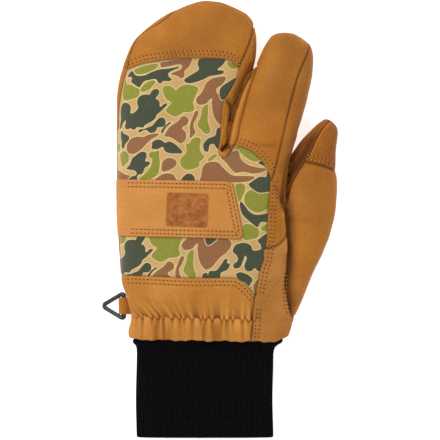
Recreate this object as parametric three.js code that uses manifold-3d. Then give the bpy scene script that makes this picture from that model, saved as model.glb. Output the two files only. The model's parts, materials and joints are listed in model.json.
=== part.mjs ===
// A three-compartment work mitten for the left hand, lying palm down: one pocket for three fingers,
// a separate index finger, a thumb, a printed cloth back, a leather strap, a gathered wrist,
// a ribbed knit cuff, and a triangular plastic clip that swings in a leather loop.
// Millimetres, +Z up. Along the glove is +Y, from the hem at the wrist to the fingertips.
import * as THREE from "three";
import { mergeVertices } from "three/addons/utils/BufferGeometryUtils.js";
import Module from "manifold-3d";

const wasm = await Module();
wasm.setup();

// Driving dimensions of the leather shell
const SHELL_LENGTH = 229; // hem at the wrist to the top of the finger pocket
const HAND_WIDTH = 113; // little-finger edge to the side of the hand, at the knuckles
const HAND_HEIGHT = 36; // surface to the crown of the back, as the glove lies
const INDEX_LENGTH = 117; // from inside the hand to the index fingertip
const INDEX_WIDTH = 39;
const INDEX_HEIGHT = 30;
const THUMB_LENGTH = 135; // from the wrist to the thumb tip
const THUMB_WIDTH = 45;
const THUMB_HEIGHT = 27;
const SHELL_WALL = 3; // leather with its padding
const FINGER_GAP = 1; // air between the finger pocket and the index finger
const SEAM_GAP = 0.3; // between one sewn panel and the next
const SEAT_GAP = 0.3; // between a piece and what carries it

// Driving dimensions of the gathers, the strap and its pressed square
const GATHER_COUNT = 13;
const GATHER_DEPTH = 2.2;
const STRAP_THICKNESS = 1.6;
const STRAP_WIDTH = 38.5; // along the glove, at the little-finger edge
const STRAP_LENGTH = 86; // across the back, from the little-finger edge
const PATCH_WIDTH = 27;
const PATCH_HEIGHT = 22;
const PATCH_DEPTH = 0.5;

// Driving dimensions of the knit cuff
const CUFF_LENGTH = 67; // from the hem of the leather to the free end
const CUFF_WIDTH = 93;
const CUFF_HEIGHT = 20;
const CUFF_TUCK = 5; // length inside the leather wrist
const KNIT_WALL = 3;
const RIB_COUNT = 92;
const RIB_DEPTH = 0.5;

// Driving dimensions of the loop and the clip
const LOOP_THICKNESS = 1.3;
const LOOP_REACH = 3.3; // from the edge of the wrist to the middle of the clip's bar
const LOOP_HEIGHT = 6.2; // middle of the clip's bar above the surface
const CLIP_ROD = 3;
const CLIP_BAR_LENGTH = 18.4;
const CLIP_DEPTH = 15.5; // middle of the bar to the outer tip
const CLIP_CLEARANCE = 0.4; // between the clip and the loop, all round

// Cross-sections of the soft tubes: how square each is, and how many corners it is drawn with
const SOFT_POWER = 2.3;
const CUFF_POWER = 2.5;
const SHELL_CORNERS = 26;
const GATHER_CORNERS = 120;
const FINGER_CORNERS = 16;
const HOLLOW_CORNERS = 16;

const lerp = (a, b, t) => a + (b - a) * t;

// Rows of numbers under named columns become a list of objects.
const table = (columns, rows) =>
  rows.map((row) => Object.fromEntries(columns.map((name, i) => [name, row[i]])));

// Sections of the hand and the three-finger pocket. along is a share of SHELL_LENGTH,
// left and right are shares of HAND_WIDTH, and the rest are shares of HAND_HEIGHT:
// the height of the side seams, then how far the back and the palm bulge from them.
const SHELL_TABLE = table(
  ["along", "left", "right", "seamLeft", "seamRight", "back", "palm"],
  [
    [0.0, 0.075, 1.024, 0.36, 0.42, 0.37, 0.42],
    [0.018, 0.071, 1.041, 0.36, 0.43, 0.38, 0.43],
    [0.059, 0.087, 1.059, 0.34, 0.44, 0.35, 0.42],
    [0.095, 0.07, 1.045, 0.35, 0.47, 0.38, 0.44],
    [0.128, 0.054, 1.027, 0.37, 0.51, 0.4, 0.47],
    [0.16, 0.033, 1.02, 0.38, 0.54, 0.42, 0.49],
    [0.202, 0.022, 1.032, 0.39, 0.57, 0.44, 0.52],
    [0.261, 0.016, 1.036, 0.4, 0.61, 0.46, 0.54],
    [0.32, 0.009, 1.029, 0.41, 0.63, 0.47, 0.55],
    [0.38, 0.003, 1.014, 0.41, 0.64, 0.475, 0.56],
    [0.439, 0.001, 1.001, 0.41, 0.64, 0.475, 0.56],
    [0.475, 0.001, 1.006, 0.41, 0.63, 0.475, 0.56],
    [0.499, 0.0, 0.988, 0.41, 0.62, 0.475, 0.55],
    [0.519, 0.0, 0.934, 0.41, 0.6, 0.475, 0.55],
    [0.537, 0.0, 0.802, 0.41, 0.56, 0.47, 0.53],
    [0.552, 0.0, 0.706, 0.41, 0.54, 0.47, 0.52],
    [0.57, 0.0, 0.676, 0.41, 0.53, 0.465, 0.51],
    [0.605, 0.0, 0.677, 0.41, 0.5, 0.46, 0.5],
    [0.659, 0.0, 0.7, 0.41, 0.47, 0.45, 0.48],
    [0.712, 0.004, 0.739, 0.41, 0.45, 0.44, 0.47],
    [0.766, 0.019, 0.784, 0.4, 0.43, 0.425, 0.46],
    [0.807, 0.043, 0.823, 0.4, 0.42, 0.41, 0.45],
    [0.849, 0.075, 0.837, 0.39, 0.41, 0.39, 0.43],
    [0.884, 0.113, 0.838, 0.38, 0.39, 0.37, 0.4],
    [0.914, 0.171, 0.832, 0.37, 0.38, 0.34, 0.37],
    [0.938, 0.234, 0.82, 0.36, 0.37, 0.31, 0.33],
    [0.958, 0.297, 0.79, 0.355, 0.36, 0.27, 0.29],
    [0.976, 0.369, 0.73, 0.35, 0.35, 0.225, 0.24],
    [0.988, 0.423, 0.676, 0.345, 0.345, 0.175, 0.19],
    [0.996, 0.471, 0.634, 0.34, 0.34, 0.125, 0.13],
    [1.0, 0.508, 0.58, 0.34, 0.34, 0.07, 0.07],
  ],
);

// Sections of the index finger. along is a share of INDEX_LENGTH, left of HAND_WIDTH, width of
// INDEX_WIDTH, seam of HAND_HEIGHT, and back and palm are shares of INDEX_HEIGHT.
const INDEX_TABLE = table(
  ["along", "left", "width", "seam", "back", "palm"],
  [
    [0.0, 0.754, 0.738, 0.6, 0.4, 0.4],
    [0.087, 0.73, 0.788, 0.6, 0.46, 0.47],
    [0.203, 0.706, 0.917, 0.585, 0.49, 0.5],
    [0.279, 0.69, 1.029, 0.57, 0.5, 0.51],
    [0.343, 0.685, 1.1, 0.555, 0.5, 0.515],
    [0.413, 0.686, 1.154, 0.54, 0.5, 0.52],
    [0.506, 0.709, 1.172, 0.515, 0.5, 0.53],
    [0.587, 0.736, 1.168, 0.495, 0.495, 0.54],
    [0.663, 0.761, 1.147, 0.475, 0.485, 0.55],
    [0.727, 0.792, 1.1, 0.46, 0.48, 0.55],
    [0.785, 0.823, 1.034, 0.45, 0.47, 0.55],
    [0.843, 0.843, 0.983, 0.44, 0.455, 0.53],
    [0.89, 0.862, 0.91, 0.43, 0.43, 0.5],
    [0.924, 0.877, 0.832, 0.42, 0.39, 0.45],
    [0.956, 0.897, 0.675, 0.41, 0.33, 0.38],
    [0.98, 0.915, 0.518, 0.4, 0.26, 0.28],
    [0.993, 0.934, 0.384, 0.395, 0.19, 0.2],
    [1.0, 0.964, 0.192, 0.39, 0.11, 0.11],
  ],
);

// Sections of the thumb. along is a share of THUMB_LENGTH, left of HAND_WIDTH, width of
// THUMB_WIDTH, and the rest are shares of THUMB_HEIGHT.
const THUMB_TABLE = table(
  ["along", "left", "width", "seamLeft", "seamRight", "back", "palm"],
  [
    [0.0, 0.874, 0.474, 0.38, 0.46, 0.4, 0.46],
    [0.051, 0.868, 0.568, 0.36, 0.46, 0.44, 0.48],
    [0.126, 0.874, 0.65, 0.34, 0.46, 0.46, 0.5],
    [0.242, 0.886, 0.763, 0.32, 0.46, 0.48, 0.51],
    [0.333, 0.898, 0.861, 0.31, 0.46, 0.49, 0.52],
    [0.424, 0.91, 0.937, 0.31, 0.47, 0.5, 0.53],
    [0.52, 0.931, 0.959, 0.31, 0.48, 0.51, 0.54],
    [0.621, 0.958, 0.921, 0.33, 0.48, 0.51, 0.54],
    [0.697, 0.982, 0.861, 0.36, 0.48, 0.5, 0.53],
    [0.747, 1.003, 0.784, 0.38, 0.47, 0.49, 0.52],
    [0.798, 1.033, 0.71, 0.39, 0.46, 0.47, 0.5],
    [0.848, 1.072, 0.619, 0.4, 0.45, 0.44, 0.47],
    [0.899, 1.117, 0.524, 0.4, 0.43, 0.4, 0.43],
    [0.939, 1.162, 0.423, 0.39, 0.41, 0.35, 0.37],
    [0.962, 1.191, 0.335, 0.38, 0.39, 0.3, 0.31],
    [0.98, 1.216, 0.23, 0.37, 0.37, 0.23, 0.24],
    [0.992, 1.236, 0.139, 0.37, 0.37, 0.16, 0.16],
    [1.0, 1.249, 0.068, 0.37, 0.37, 0.09, 0.09],
  ],
);

// Sections of the knit cuff below the hem. down is a share of CUFF_LENGTH, and flare is the share
// of the way from the cuff's own section to the one inside the wrist.
const CUFF_TABLE = table(
  ["down", "flare"],
  [
    [0.06, 0.95],
    [0.18, 0.08],
    [1.0, 0.0],
  ],
);

const INDEX_BASE = 0.395; // share of SHELL_LENGTH where the index finger starts inside the hand
const THUMB_BASE = 0.059; // share of SHELL_LENGTH where the thumb starts at the wrist

// Sections in millimetres, from the tables

const shellSections = SHELL_TABLE.map((row) => ({
  y: row.along * SHELL_LENGTH,
  left: row.left * HAND_WIDTH,
  right: row.right * HAND_WIDTH,
  seamLeft: row.seamLeft * HAND_HEIGHT,
  seamRight: row.seamRight * HAND_HEIGHT,
  back: row.back * HAND_HEIGHT,
  palm: row.palm * HAND_HEIGHT,
}));

// The section of a tube at any y, by straight interpolation between its rows.
function sectionAt(sections, y) {
  const last = sections.length - 1;
  let i = 1;
  while (i < last && sections[i].y < y) i += 1;
  const a = sections[i - 1];
  const b = sections[i];
  const t = THREE.MathUtils.clamp((y - a.y) / (b.y - a.y), 0, 1);
  return Object.fromEntries(Object.keys(a).map((key) => [key, lerp(a[key], b[key], t)]));
}

const CROTCH = 0.56 * SHELL_LENGTH; // where the index finger leaves the pocket

// The index finger keeps clear of the finger pocket above the crotch.
const indexSections = INDEX_TABLE.map((row) => {
  const y = INDEX_BASE * SHELL_LENGTH + row.along * INDEX_LENGTH;
  const pocketEdge = sectionAt(shellSections, y).right + FINGER_GAP;
  const own = row.left * HAND_WIDTH;
  const left = y > CROTCH && y < SHELL_LENGTH ? Math.max(own, pocketEdge) : own;
  return {
    y,
    left,
    right: row.left * HAND_WIDTH + row.width * INDEX_WIDTH,
    seamLeft: row.seam * HAND_HEIGHT,
    seamRight: row.seam * HAND_HEIGHT,
    back: row.back * INDEX_HEIGHT,
    palm: row.palm * INDEX_HEIGHT,
  };
});

const thumbSections = THUMB_TABLE.map((row) => ({
  y: THUMB_BASE * SHELL_LENGTH + row.along * THUMB_LENGTH,
  left: row.left * HAND_WIDTH,
  right: row.left * HAND_WIDTH + row.width * THUMB_WIDTH,
  seamLeft: row.seamLeft * THUMB_HEIGHT,
  seamRight: row.seamRight * THUMB_HEIGHT,
  back: row.back * THUMB_HEIGHT,
  palm: row.palm * THUMB_HEIGHT,
}));

// Solids

function solidFrom(positions, triangles) {
  return new wasm.Manifold(
    new wasm.Mesh({
      numProp: 3,
      vertProperties: new Float32Array(positions),
      triVerts: new Uint32Array(triangles),
    }),
  );
}

// A three.js geometry as a solid, with its shared vertices merged.
function solidOf(geometry) {
  const bare = geometry.index ? geometry.toNonIndexed() : geometry.clone();
  bare.deleteAttribute("normal");
  bare.deleteAttribute("uv");
  const merged = mergeVertices(bare, 1e-4);
  return solidFrom(merged.attributes.position.array, merged.index.array);
}

// A closed loft through sections. relief(share across, y, sine of the corner's angle) pushes
// a corner outwards.
function loft(sections, corners, power = SOFT_POWER, relief = () => 0) {
  const positions = [];
  const triangles = [];
  for (const s of sections) {
    const half = (s.right - s.left) / 2;
    for (let i = 0; i < corners; i += 1) {
      const angle = (2 * Math.PI * i) / corners;
      const c = Math.cos(angle);
      const n = Math.sin(angle);
      const across = Math.sign(c) * Math.abs(c) ** (2 / power);
      const up = Math.sign(n) * Math.abs(n) ** (2 / power);
      const out = relief((across + 1) / 2, s.y, n, i);
      const seam = lerp(s.seamLeft, s.seamRight, (across + 1) / 2);
      const bulge = up > 0 ? s.back : s.palm;
      positions.push(s.left + half + across * half + c * out, s.y, seam + up * bulge + n * out);
    }
  }
  for (let k = 0; k + 1 < sections.length; k += 1) {
    for (let i = 0; i < corners; i += 1) {
      const a = k * corners + i;
      const b = k * corners + ((i + 1) % corners);
      triangles.push(a, a + corners, b, b, a + corners, b + corners);
    }
  }
  const first = positions.length / 3;
  for (const k of [0, sections.length - 1]) {
    const s = sections[k];
    positions.push((s.left + s.right) / 2, s.y, (s.seamLeft + s.seamRight) / 2);
  }
  const end = (sections.length - 1) * corners;
  for (let i = 0; i < corners; i += 1) {
    const j = (i + 1) % corners;
    triangles.push(first, i, j);
    triangles.push(first + 1, end + j, end + i);
  }
  return solidFrom(positions, triangles);
}

// Sections grown outwards by a distance, or inwards if it is negative. The closed tip moves too.
function grown(sections, distance) {
  const base = sections[0].y;
  const length = sections[sections.length - 1].y - base;
  return sections.map((s) => {
    const least = 0.5;
    const middle = (s.left + s.right) / 2;
    const half = Math.max((s.right - s.left) / 2 + distance, least);
    return {
      ...s,
      y: base + (s.y - base) * (1 + distance / length),
      left: middle - half,
      right: middle + half,
      back: Math.max(s.back + distance, least),
      palm: Math.max(s.palm + distance, least),
    };
  });
}

// Sections with the open end at the wrist carried further down.
function openedBy(sections, distance) {
  return [{ ...sections[0], y: sections[0].y - distance }, ...sections];
}

function box(minimum, maximum) {
  const size = maximum.map((value, i) => value - minimum[i]);
  const middle = maximum.map((value, i) => (value + minimum[i]) / 2);
  return solidOf(new THREE.BoxGeometry(...size).translate(...middle));
}

const REACH = 4 * SHELL_LENGTH; // past the glove on every side, for cutting
const above = (z) => box([-REACH, -REACH, z], [REACH, REACH, REACH]);

// Points of an outline moved outwards by a distance, for a gap round a panel.
function outset(points, distance) {
  const area = points.reduce((sum, [x, y], i) => {
    const [nx, ny] = points[(i + 1) % points.length];
    return sum + x * ny - nx * y;
  }, 0);
  const turn = Math.sign(area);
  return points.map(([x, y], i) => {
    const [px, py] = points[(i + points.length - 1) % points.length];
    const [nx, ny] = points[(i + 1) % points.length];
    const before = new THREE.Vector2(x - px, y - py).normalize();
    const after = new THREE.Vector2(nx - x, ny - y).normalize();
    const side = before.clone().add(after).normalize();
    const stretch = 1 / Math.max(before.dot(side), 0.5);
    return [x + side.y * turn * distance * stretch, y - side.x * turn * distance * stretch];
  });
}

// An upright prism over an outline, from a height up.
function prism(points, low, high = REACH) {
  const outline = new THREE.Shape(points.map(([x, y]) => new THREE.Vector2(x, y)));
  const geometry = new THREE.ExtrudeGeometry(outline, { depth: high - low, bevelEnabled: false });
  return solidOf(geometry.translate(0, 0, low));
}

// The leather shell as one hollow form

const FLOOR_CUT = above(0);
const form = (distance) =>
  loft(grown(shellSections, distance), SHELL_CORNERS)
    .add(loft(grown(indexSections, distance), FINGER_CORNERS))
    .add(loft(grown(thumbSections, distance), FINGER_CORNERS));

// The inside is drawn with every other section, and its open end runs on past the hem.
const thinned = (sections) =>
  sections.filter((s, i) => i % 2 === 0 || i === sections.length - 1);
const inside = (sections, gap = 0) => thinned(grown(sections, -SHELL_WALL - gap));
const hollow = loft(openedBy(inside(shellSections), CUFF_LENGTH), HOLLOW_CORNERS)
  .add(loft(inside(indexSections), HOLLOW_CORNERS))
  .add(loft(inside(thumbSections), HOLLOW_CORNERS))
  .intersect(above(SHELL_WALL));

// Gathers: pleats across the back of the wrist, deepest at the elastic, fading up the hand.
const ELASTIC_AT = 0.059; // share of SHELL_LENGTH
const GATHER_FADE_AT = 0.15;
const GATHER_LEFT = 0.04; // shares of the wrist's width
const GATHER_RIGHT = 0.8;

function gatherRelief(across, y, up) {
  const share = (across - GATHER_LEFT) / (GATHER_RIGHT - GATHER_LEFT);
  if (up <= 0 || share <= 0 || share >= 1) return 0;
  const along = y / SHELL_LENGTH;
  const toElastic = Math.abs(along - ELASTIC_AT) / ELASTIC_AT;
  const fade =
    along < ELASTIC_AT
      ? 1 - 0.35 * toElastic
      : Math.max(0, 1 - (along - ELASTIC_AT) / (GATHER_FADE_AT - ELASTIC_AT));
  const pleat = Math.abs(Math.sin(Math.PI * GATHER_COUNT * share + 0.5 * Math.sin(9 * share)));
  const edge = Math.min(1, 8 * share, 8 * (1 - share));
  const pinch = along < ELASTIC_AT ? 0 : 0.25 * GATHER_DEPTH * Math.exp(-40 * toElastic);
  return edge * fade * GATHER_DEPTH * pleat - pinch;
}

const GATHER_ROWS = [0.0, 0.03, ELASTIC_AT, 0.08, 0.11, GATHER_FADE_AT, 0.2];
const gatheredSections = GATHER_ROWS.map((share) => sectionAt(shellSections, share * SHELL_LENGTH));
const gatheredForm = loft(gatheredSections, GATHER_CORNERS, SOFT_POWER, gatherRelief);

// Outlines of the panels, in plan. A point of the hand is a share of HAND_WIDTH across and of
// SHELL_LENGTH along. A point of a finger is given by its share along it, and across it
// from -1 at its left edge to 1 at its right.

const onHand = (rows) => rows.map(([x, y]) => [x * HAND_WIDTH, y * SHELL_LENGTH]);

function onTube(sections, base, length, rows) {
  return rows.map(([along, across]) => {
    const y = base + along * length;
    const s = sectionAt(sections, y);
    return [lerp(s.left, s.right, (across + 1) / 2), y];
  });
}
const onIndex = (rows) =>
  onTube(indexSections, INDEX_BASE * SHELL_LENGTH, INDEX_LENGTH, rows);
const onThumb = (rows) =>
  onTube(thumbSections, THUMB_BASE * SHELL_LENGTH, THUMB_LENGTH, rows);

const OUTSIDE = 0.12; // share of HAND_WIDTH past the little-finger edge

const capLowerSeam = onHand([
  [0.062, 0.796],
  [0.135, 0.81],
  [0.21, 0.818],
  [0.317, 0.824],
  [0.423, 0.828],
  [0.532, 0.829],
  [0.639, 0.826],
  [0.692, 0.818],
  [0.733, 0.798],
]);
const capRightSeam = onHand([
  [0.768, 0.834],
  [0.795, 0.865],
  [0.816, 0.897],
  [0.828, 0.926],
]);
const capLeftSeam = onHand([
  [0.429, 0.997],
  [0.339, 0.966],
  [0.273, 0.939],
  [0.189, 0.915],
  [0.135, 0.894],
  [0.103, 0.868],
  [0.075, 0.834],
]);
const capOutside = onHand([
  [0.88, 0.96],
  [0.75, 1.02],
  [0.43, 1.02],
]);
const capOutline = [...capLowerSeam, ...capRightSeam, ...capOutside, ...capLeftSeam];

const gussetPocketSeam = onHand([
  [0.828, 0.926],
  [0.816, 0.897],
  [0.795, 0.865],
  [0.768, 0.834],
  [0.741, 0.807],
  [0.729, 0.777],
  [0.692, 0.739],
  [0.652, 0.706],
  [0.638, 0.682],
  [0.63, 0.634],
  [0.624, 0.591],
  [0.614, 0.563],
  [0.624, 0.543],
  [0.649, 0.536],
  [0.676, 0.545],
]);
const gussetIndexSeam = onIndex([
  [0.346, -0.88],
  [0.403, -0.79],
  [0.473, -0.8],
  [0.531, -0.8],
  [0.59, -0.82],
  [0.634, -0.82],
  [0.692, -0.84],
  [0.75, -0.9],
  [0.797, -0.97],
]);

// Points along the valley between the pocket and the index finger, from one length to another
const VALLEY_FOOT = 0.62; // share of SHELL_LENGTH
const downValley = (start, end) =>
  [0.1, 0.325, 0.55, 0.775, 1].map((share) => {
    const y = lerp(start, end, share);
    return [sectionAt(shellSections, y).right + FINGER_GAP / 2, y];
  });
const indexTipLeft = onIndex([[0.96, -1.6]])[0];
const gussetTop = gussetPocketSeam[0][1];
const gussetIndexTop = gussetIndexSeam[gussetIndexSeam.length - 1][1];
const gussetOutside = downValley(gussetIndexTop, gussetTop).slice(0, 4);
const gussetOutline = [...gussetPocketSeam, ...gussetIndexSeam, ...gussetOutside];

const indexLowerEdge = onHand([
  [0.714, 0.57],
  [0.768, 0.563],
  [0.832, 0.545],
  [0.885, 0.515],
  [0.918, 0.484],
]);
const indexSideSeam = onIndex([
  [0.137, 0.44],
  [0.169, 0.52],
  [0.237, 0.58],
  [0.341, 0.6],
  [0.444, 0.6],
  [0.527, 0.56],
  [0.61, 0.54],
  [0.703, 0.55],
  [0.777, 0.58],
  [0.849, 0.73],
  [0.92, 0.96],
]);
const indexOutside = [
  ...onIndex([
    [0.97, 1.5],
    [1.05, 1],
    [1.05, -1],
  ]),
  indexTipLeft,
  ...downValley(indexTipLeft[1], VALLEY_FOOT * SHELL_LENGTH),
  ...onHand([[0.69, 0.56]]),
];
const indexOutline = [...indexLowerEdge, ...indexSideSeam, ...indexOutside];

const sideSeam = onHand([
  [0.923, 0.463],
  [0.92, 0.435],
  [0.912, 0.393],
  [0.907, 0.35],
  [0.904, 0.309],
  [0.896, 0.268],
  [0.885, 0.234],
  [0.864, 0.202],
  [0.853, 0.175],
  [0.834, 0.128],
]);
const bandTopSeam = onHand([
  [0.834, 0.128],
  [0.789, 0.151],
  [0.746, 0.17],
  [0.692, 0.178],
  [0.423, 0.178],
  [0.21, 0.183],
  [-OUTSIDE, 0.187],
]);
const bandRightSeam = onHand([
  [0.806, -0.03],
  [0.813, 0.018],
  [0.817, 0.052],
  [0.825, 0.097],
]);
const bandOutline = [...bandRightSeam, ...bandTopSeam, ...onHand([[-OUTSIDE, -0.03]])];

const wristSideTop = onHand([
  [0.884, 0.265],
  [0.926, 0.267],
  [0.953, 0.271],
  [0.99, 0.283],
  [1.013, 0.297],
  [1.024, 0.318],
]);
const wristSideRight = [0.3, 0.26, 0.2, 0.16, 0.12, 0.06].map((share) => {
  const y = share * SHELL_LENGTH;
  return [sectionAt(shellSections, y).right, y];
});
const wristSideOutline = [
  ...sideSeam.slice(6),
  ...[...bandRightSeam].reverse(),
  ...onHand([
    [1.15, -0.03],
    [1.15, 0.05],
  ]),
  ...[...wristSideRight].reverse(),
  ...[...wristSideTop].reverse(),
];

const backLeftSeam = onHand([
  [-OUTSIDE, 0.617],
  [-0.001, 0.617],
  [0.008, 0.659],
  [0.019, 0.706],
  [0.043, 0.766],
  [0.062, 0.796],
]);
const backOutline = [
  ...backLeftSeam,
  ...onHand([
    [0.2, 0.84],
    [0.65, 0.84],
    [0.76, 0.8],
    [0.76, 0.76],
    [0.72, 0.72],
    [0.68, 0.66],
    [0.66, 0.56],
    [0.72, 0.58],
    [0.85, 0.56],
    [0.925, 0.49],
  ]),
  ...sideSeam,
  ...onHand([
    [0.8, 0.12],
    [-OUTSIDE, 0.17],
  ]),
];

const thumbRidge = onThumb([
  [0.99, 0.53],
  [0.96, -0.18],
  [0.905, -0.21],
  [0.847, -0.19],
  [0.785, -0.27],
  [0.736, -0.42],
  [0.672, -0.56],
  [0.611, -0.6],
]);
const thumbCapSeam = onThumb([
  [0.785, -0.27],
  [0.78, -0.04],
  [0.77, 0.36],
  [0.756, 0.69],
  [0.735, 1.1],
]);
const thumbCapOutline = [
  ...thumbRidge.slice(0, 4),
  ...thumbCapSeam,
  ...onThumb([
    [0.75, 2],
    [0.98, 3],
    [1.03, 2],
  ]),
];
const thumbBackLeft = [0.36, 0.32, 0.26, 0.2, 0.16, 0.12].map((share) => {
  const y = share * SHELL_LENGTH;
  return [sectionAt(shellSections, y).right + FINGER_GAP, y];
});
const thumbBackOutline = [
  ...thumbRidge.slice(4),
  ...thumbBackLeft,
  ...onThumb([
    [0.02, 2],
    [0.3, 2.5],
    [0.72, 2],
  ]),
  ...[...thumbCapSeam].reverse().slice(0, 4),
];

// The fronts of the thumb and of the index finger are sewn to the palm where each leaves the hand.
const handRight = (shares) =>
  shares.map((share) => {
    const y = share * SHELL_LENGTH;
    return [sectionAt(shellSections, y).right + FINGER_GAP, y];
  });
const indexRight = (alongs) => onIndex(alongs.map((along) => [along, 1.08]));
const thumbFrontOutline = [
  ...handRight([0.09, 0.13, 0.16, 0.2, 0.23, 0.26, 0.29, 0.32, 0.36, 0.41, 0.46]),
  ...indexRight([0.17, 0.25, 0.32, 0.38, 0.46]),
  ...onThumb([
    [1.05, -2],
    [1.05, 3],
    [0.5, 3],
    [0.06, 3],
  ]),
];
const indexFrontOutline = [
  ...onIndex([
    [0.295, -1],
    [0.23, -0.2],
    [0.19, 0.5],
    [0.17, 1.3],
  ]),
  ...onHand([
    [1.3, 0.5],
    [1.3, 0.9],
  ]),
  ...onIndex([
    [1.05, 2],
    [1.05, -1],
  ]),
  indexTipLeft,
  ...downValley(indexTipLeft[1], VALLEY_FOOT * SHELL_LENGTH),
];

// Carving: each panel is cut from what is left of the shell, with a gap at its seams.

const shell = form(0).subtract(hollow).intersect(FLOOR_CUT);
const gatheredShell = gatheredForm.subtract(hollow).intersect(FLOOR_CUT);
let rest = shell;

function carve(outline, low, source = null) {
  const piece = (source ?? rest).intersect(prism(outline, low));
  rest = rest.subtract(prism(outset(outline, SEAM_GAP), low - SEAM_GAP));
  return piece;
}

// Heights of the side seams, where the panels of the back meet the palm's leather
const BACK_LOW = 0.4 * HAND_HEIGHT;
const CAP_LOW = 0.35 * HAND_HEIGHT;
const INDEX_LOW = 0.44 * HAND_HEIGHT;
const GUSSET_LOW = 0.25 * HAND_HEIGHT;
const THUMB_LOW = 0.42 * THUMB_HEIGHT;

const solids = {};
solids.finger_cap = carve(capOutline, CAP_LOW);
solids.finger_gusset = carve(gussetOutline, GUSSET_LOW);
solids.index_back = carve(indexOutline, INDEX_LOW);
solids.wrist_band = carve(bandOutline, CAP_LOW, gatheredShell);
solids.wrist_side = carve(wristSideOutline, BACK_LOW);
solids.thumb_cap = carve(thumbCapOutline, THUMB_LOW);
solids.thumb_back = carve(thumbBackOutline, THUMB_LOW);
solids.cloth_back = carve(backOutline, BACK_LOW);
solids.thumb_front = carve(thumbFrontOutline, -SEAM_GAP);
solids.index_front = carve(indexFrontOutline, -SEAM_GAP);
solids.palm = rest;

// The strap: a leather layer that follows the back, with a square pressed into it.

const STRAP_AT = 0.388; // share of SHELL_LENGTH, middle of the strap
const STRAP_ROUNDING = 0.12; // share of the strap's width
const STRAP_TILT = -0.02; // the strap drops a little towards the index side

function strapOutline() {
  const half = STRAP_WIDTH / 2;
  const middle = STRAP_AT * SHELL_LENGTH;
  const round = STRAP_ROUNDING * STRAP_WIDTH;
  const far = STRAP_LENGTH;
  const lean = 0.19 * STRAP_WIDTH; // the free end slants
  const drop = (x) => middle + STRAP_TILT * x;
  return [
    [-OUTSIDE * HAND_WIDTH, drop(0) + half],
    [far - lean - round, drop(far) + half],
    [far - lean - 0.3 * round, drop(far) + half - 0.3 * round],
    [far - lean, drop(far) + half - round],
    [far, drop(far) - half + round],
    [far - 0.3 * round, drop(far) - half + 0.3 * round],
    [far - round, drop(far) - half],
    [-OUTSIDE * HAND_WIDTH, drop(0) - half],
  ];
}

const PATCH_CENTRE = 0.42; // share of HAND_WIDTH
const patchOutline = [
  [-1, -1],
  [1, -1],
  [1, 1],
  [-1, 1],
].map(([x, y]) => [
  PATCH_CENTRE * HAND_WIDTH + (x * PATCH_WIDTH) / 2,
  STRAP_AT * SHELL_LENGTH + STRAP_TILT * PATCH_CENTRE * HAND_WIDTH + (y * PATCH_HEIGHT) / 2,
]);

const strapLayer = form(SEAT_GAP + STRAP_THICKNESS).subtract(form(SEAT_GAP));
const pressed = prism(patchOutline, BACK_LOW).subtract(
  form(SEAT_GAP + STRAP_THICKNESS - PATCH_DEPTH),
);
solids.strap = strapLayer.intersect(prism(strapOutline(), BACK_LOW)).subtract(pressed);

// The knit cuff: ribs round a flattened tube, tucked inside the leather wrist.

const hem = shellSections[0];
const [tucked] = grown(shellSections, -SHELL_WALL - SEAT_GAP);
const CUFF_SHIFT = 0.02; // share of HAND_WIDTH that the cuff lies off the wrist's middle
const cuffMiddle = (hem.left + hem.right) / 2 - CUFF_SHIFT * HAND_WIDTH;
const cuffSection = {
  left: cuffMiddle - CUFF_WIDTH / 2,
  right: cuffMiddle + CUFF_WIDTH / 2,
  seamLeft: CUFF_HEIGHT / 2,
  seamRight: CUFF_HEIGHT / 2,
  back: CUFF_HEIGHT / 2,
  palm: CUFF_HEIGHT / 2,
};
const MOUTH_LIFT = 1; // height of the knit over the leather under it, inside the mouth
const insideMouth = {
  ...tucked,
  palm: (tucked.seamLeft + tucked.seamRight) / 2 - SHELL_WALL - SEAT_GAP - MOUTH_LIFT,
};

function flared(down, flare) {
  const keys = Object.keys(cuffSection);
  const section = keys.map((key) => [key, lerp(cuffSection[key], insideMouth[key], flare)]);
  return { ...Object.fromEntries(section), y: -down * CUFF_LENGTH };
}

const cuffSections = [
  ...CUFF_TABLE.map((row) => flared(row.down, row.flare)).reverse(),
  { ...insideMouth, y: 0 },
  { ...insideMouth, y: CUFF_TUCK },
];

const ribRelief = (across, y, up, i) => (i % 2 ? -RIB_DEPTH : 0);
const knitOuter = loft(cuffSections, 2 * RIB_COUNT, CUFF_POWER, ribRelief);
const knitInner = loft(
  cuffSections.map((s, i) => {
    const [inner] = grown([s, { ...s, y: s.y + CUFF_LENGTH }], -KNIT_WALL);
    const past = { 0: -CUFF_TUCK, [cuffSections.length - 1]: CUFF_TUCK };
    return { ...inner, y: s.y + (past[i] ?? 0) };
  }),
  HOLLOW_CORNERS,
  CUFF_POWER,
);

// What of the cuff is inside the mouth keeps its gap to the leather all round.
const mouth = loft(
  openedBy(inside(shellSections, SEAT_GAP), CUFF_LENGTH),
  HOLLOW_CORNERS,
).intersect(above(SHELL_WALL + SEAT_GAP));
const belowHem = box([-REACH, -REACH, -REACH], [REACH, -SEAT_GAP, REACH]);
solids.knit_cuff = knitOuter
  .intersect(mouth.add(belowHem))
  .subtract(knitInner)
  .intersect(FLOOR_CUT);

// The loop: a leather strip folded round the clip's bar and sewn in the side of the wrist.

const LOOP_AT = 0.094; // share of SHELL_LENGTH, middle of the loop
const loopY = LOOP_AT * SHELL_LENGTH;
const barX = sectionAt(shellSections, loopY).left - LOOP_REACH;
const barRadius = CLIP_ROD * 0.6;
const eyeHalf = CLIP_BAR_LENGTH / 2 - CLIP_ROD * 0.88; // half the clip's opening, along its bar
const loopWidth = 2 * (eyeHalf * 0.91 - CLIP_CLEARANCE);
const holeRadius = barRadius + CLIP_CLEARANCE;
const loopRadius = holeRadius + LOOP_THICKNESS;

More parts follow.
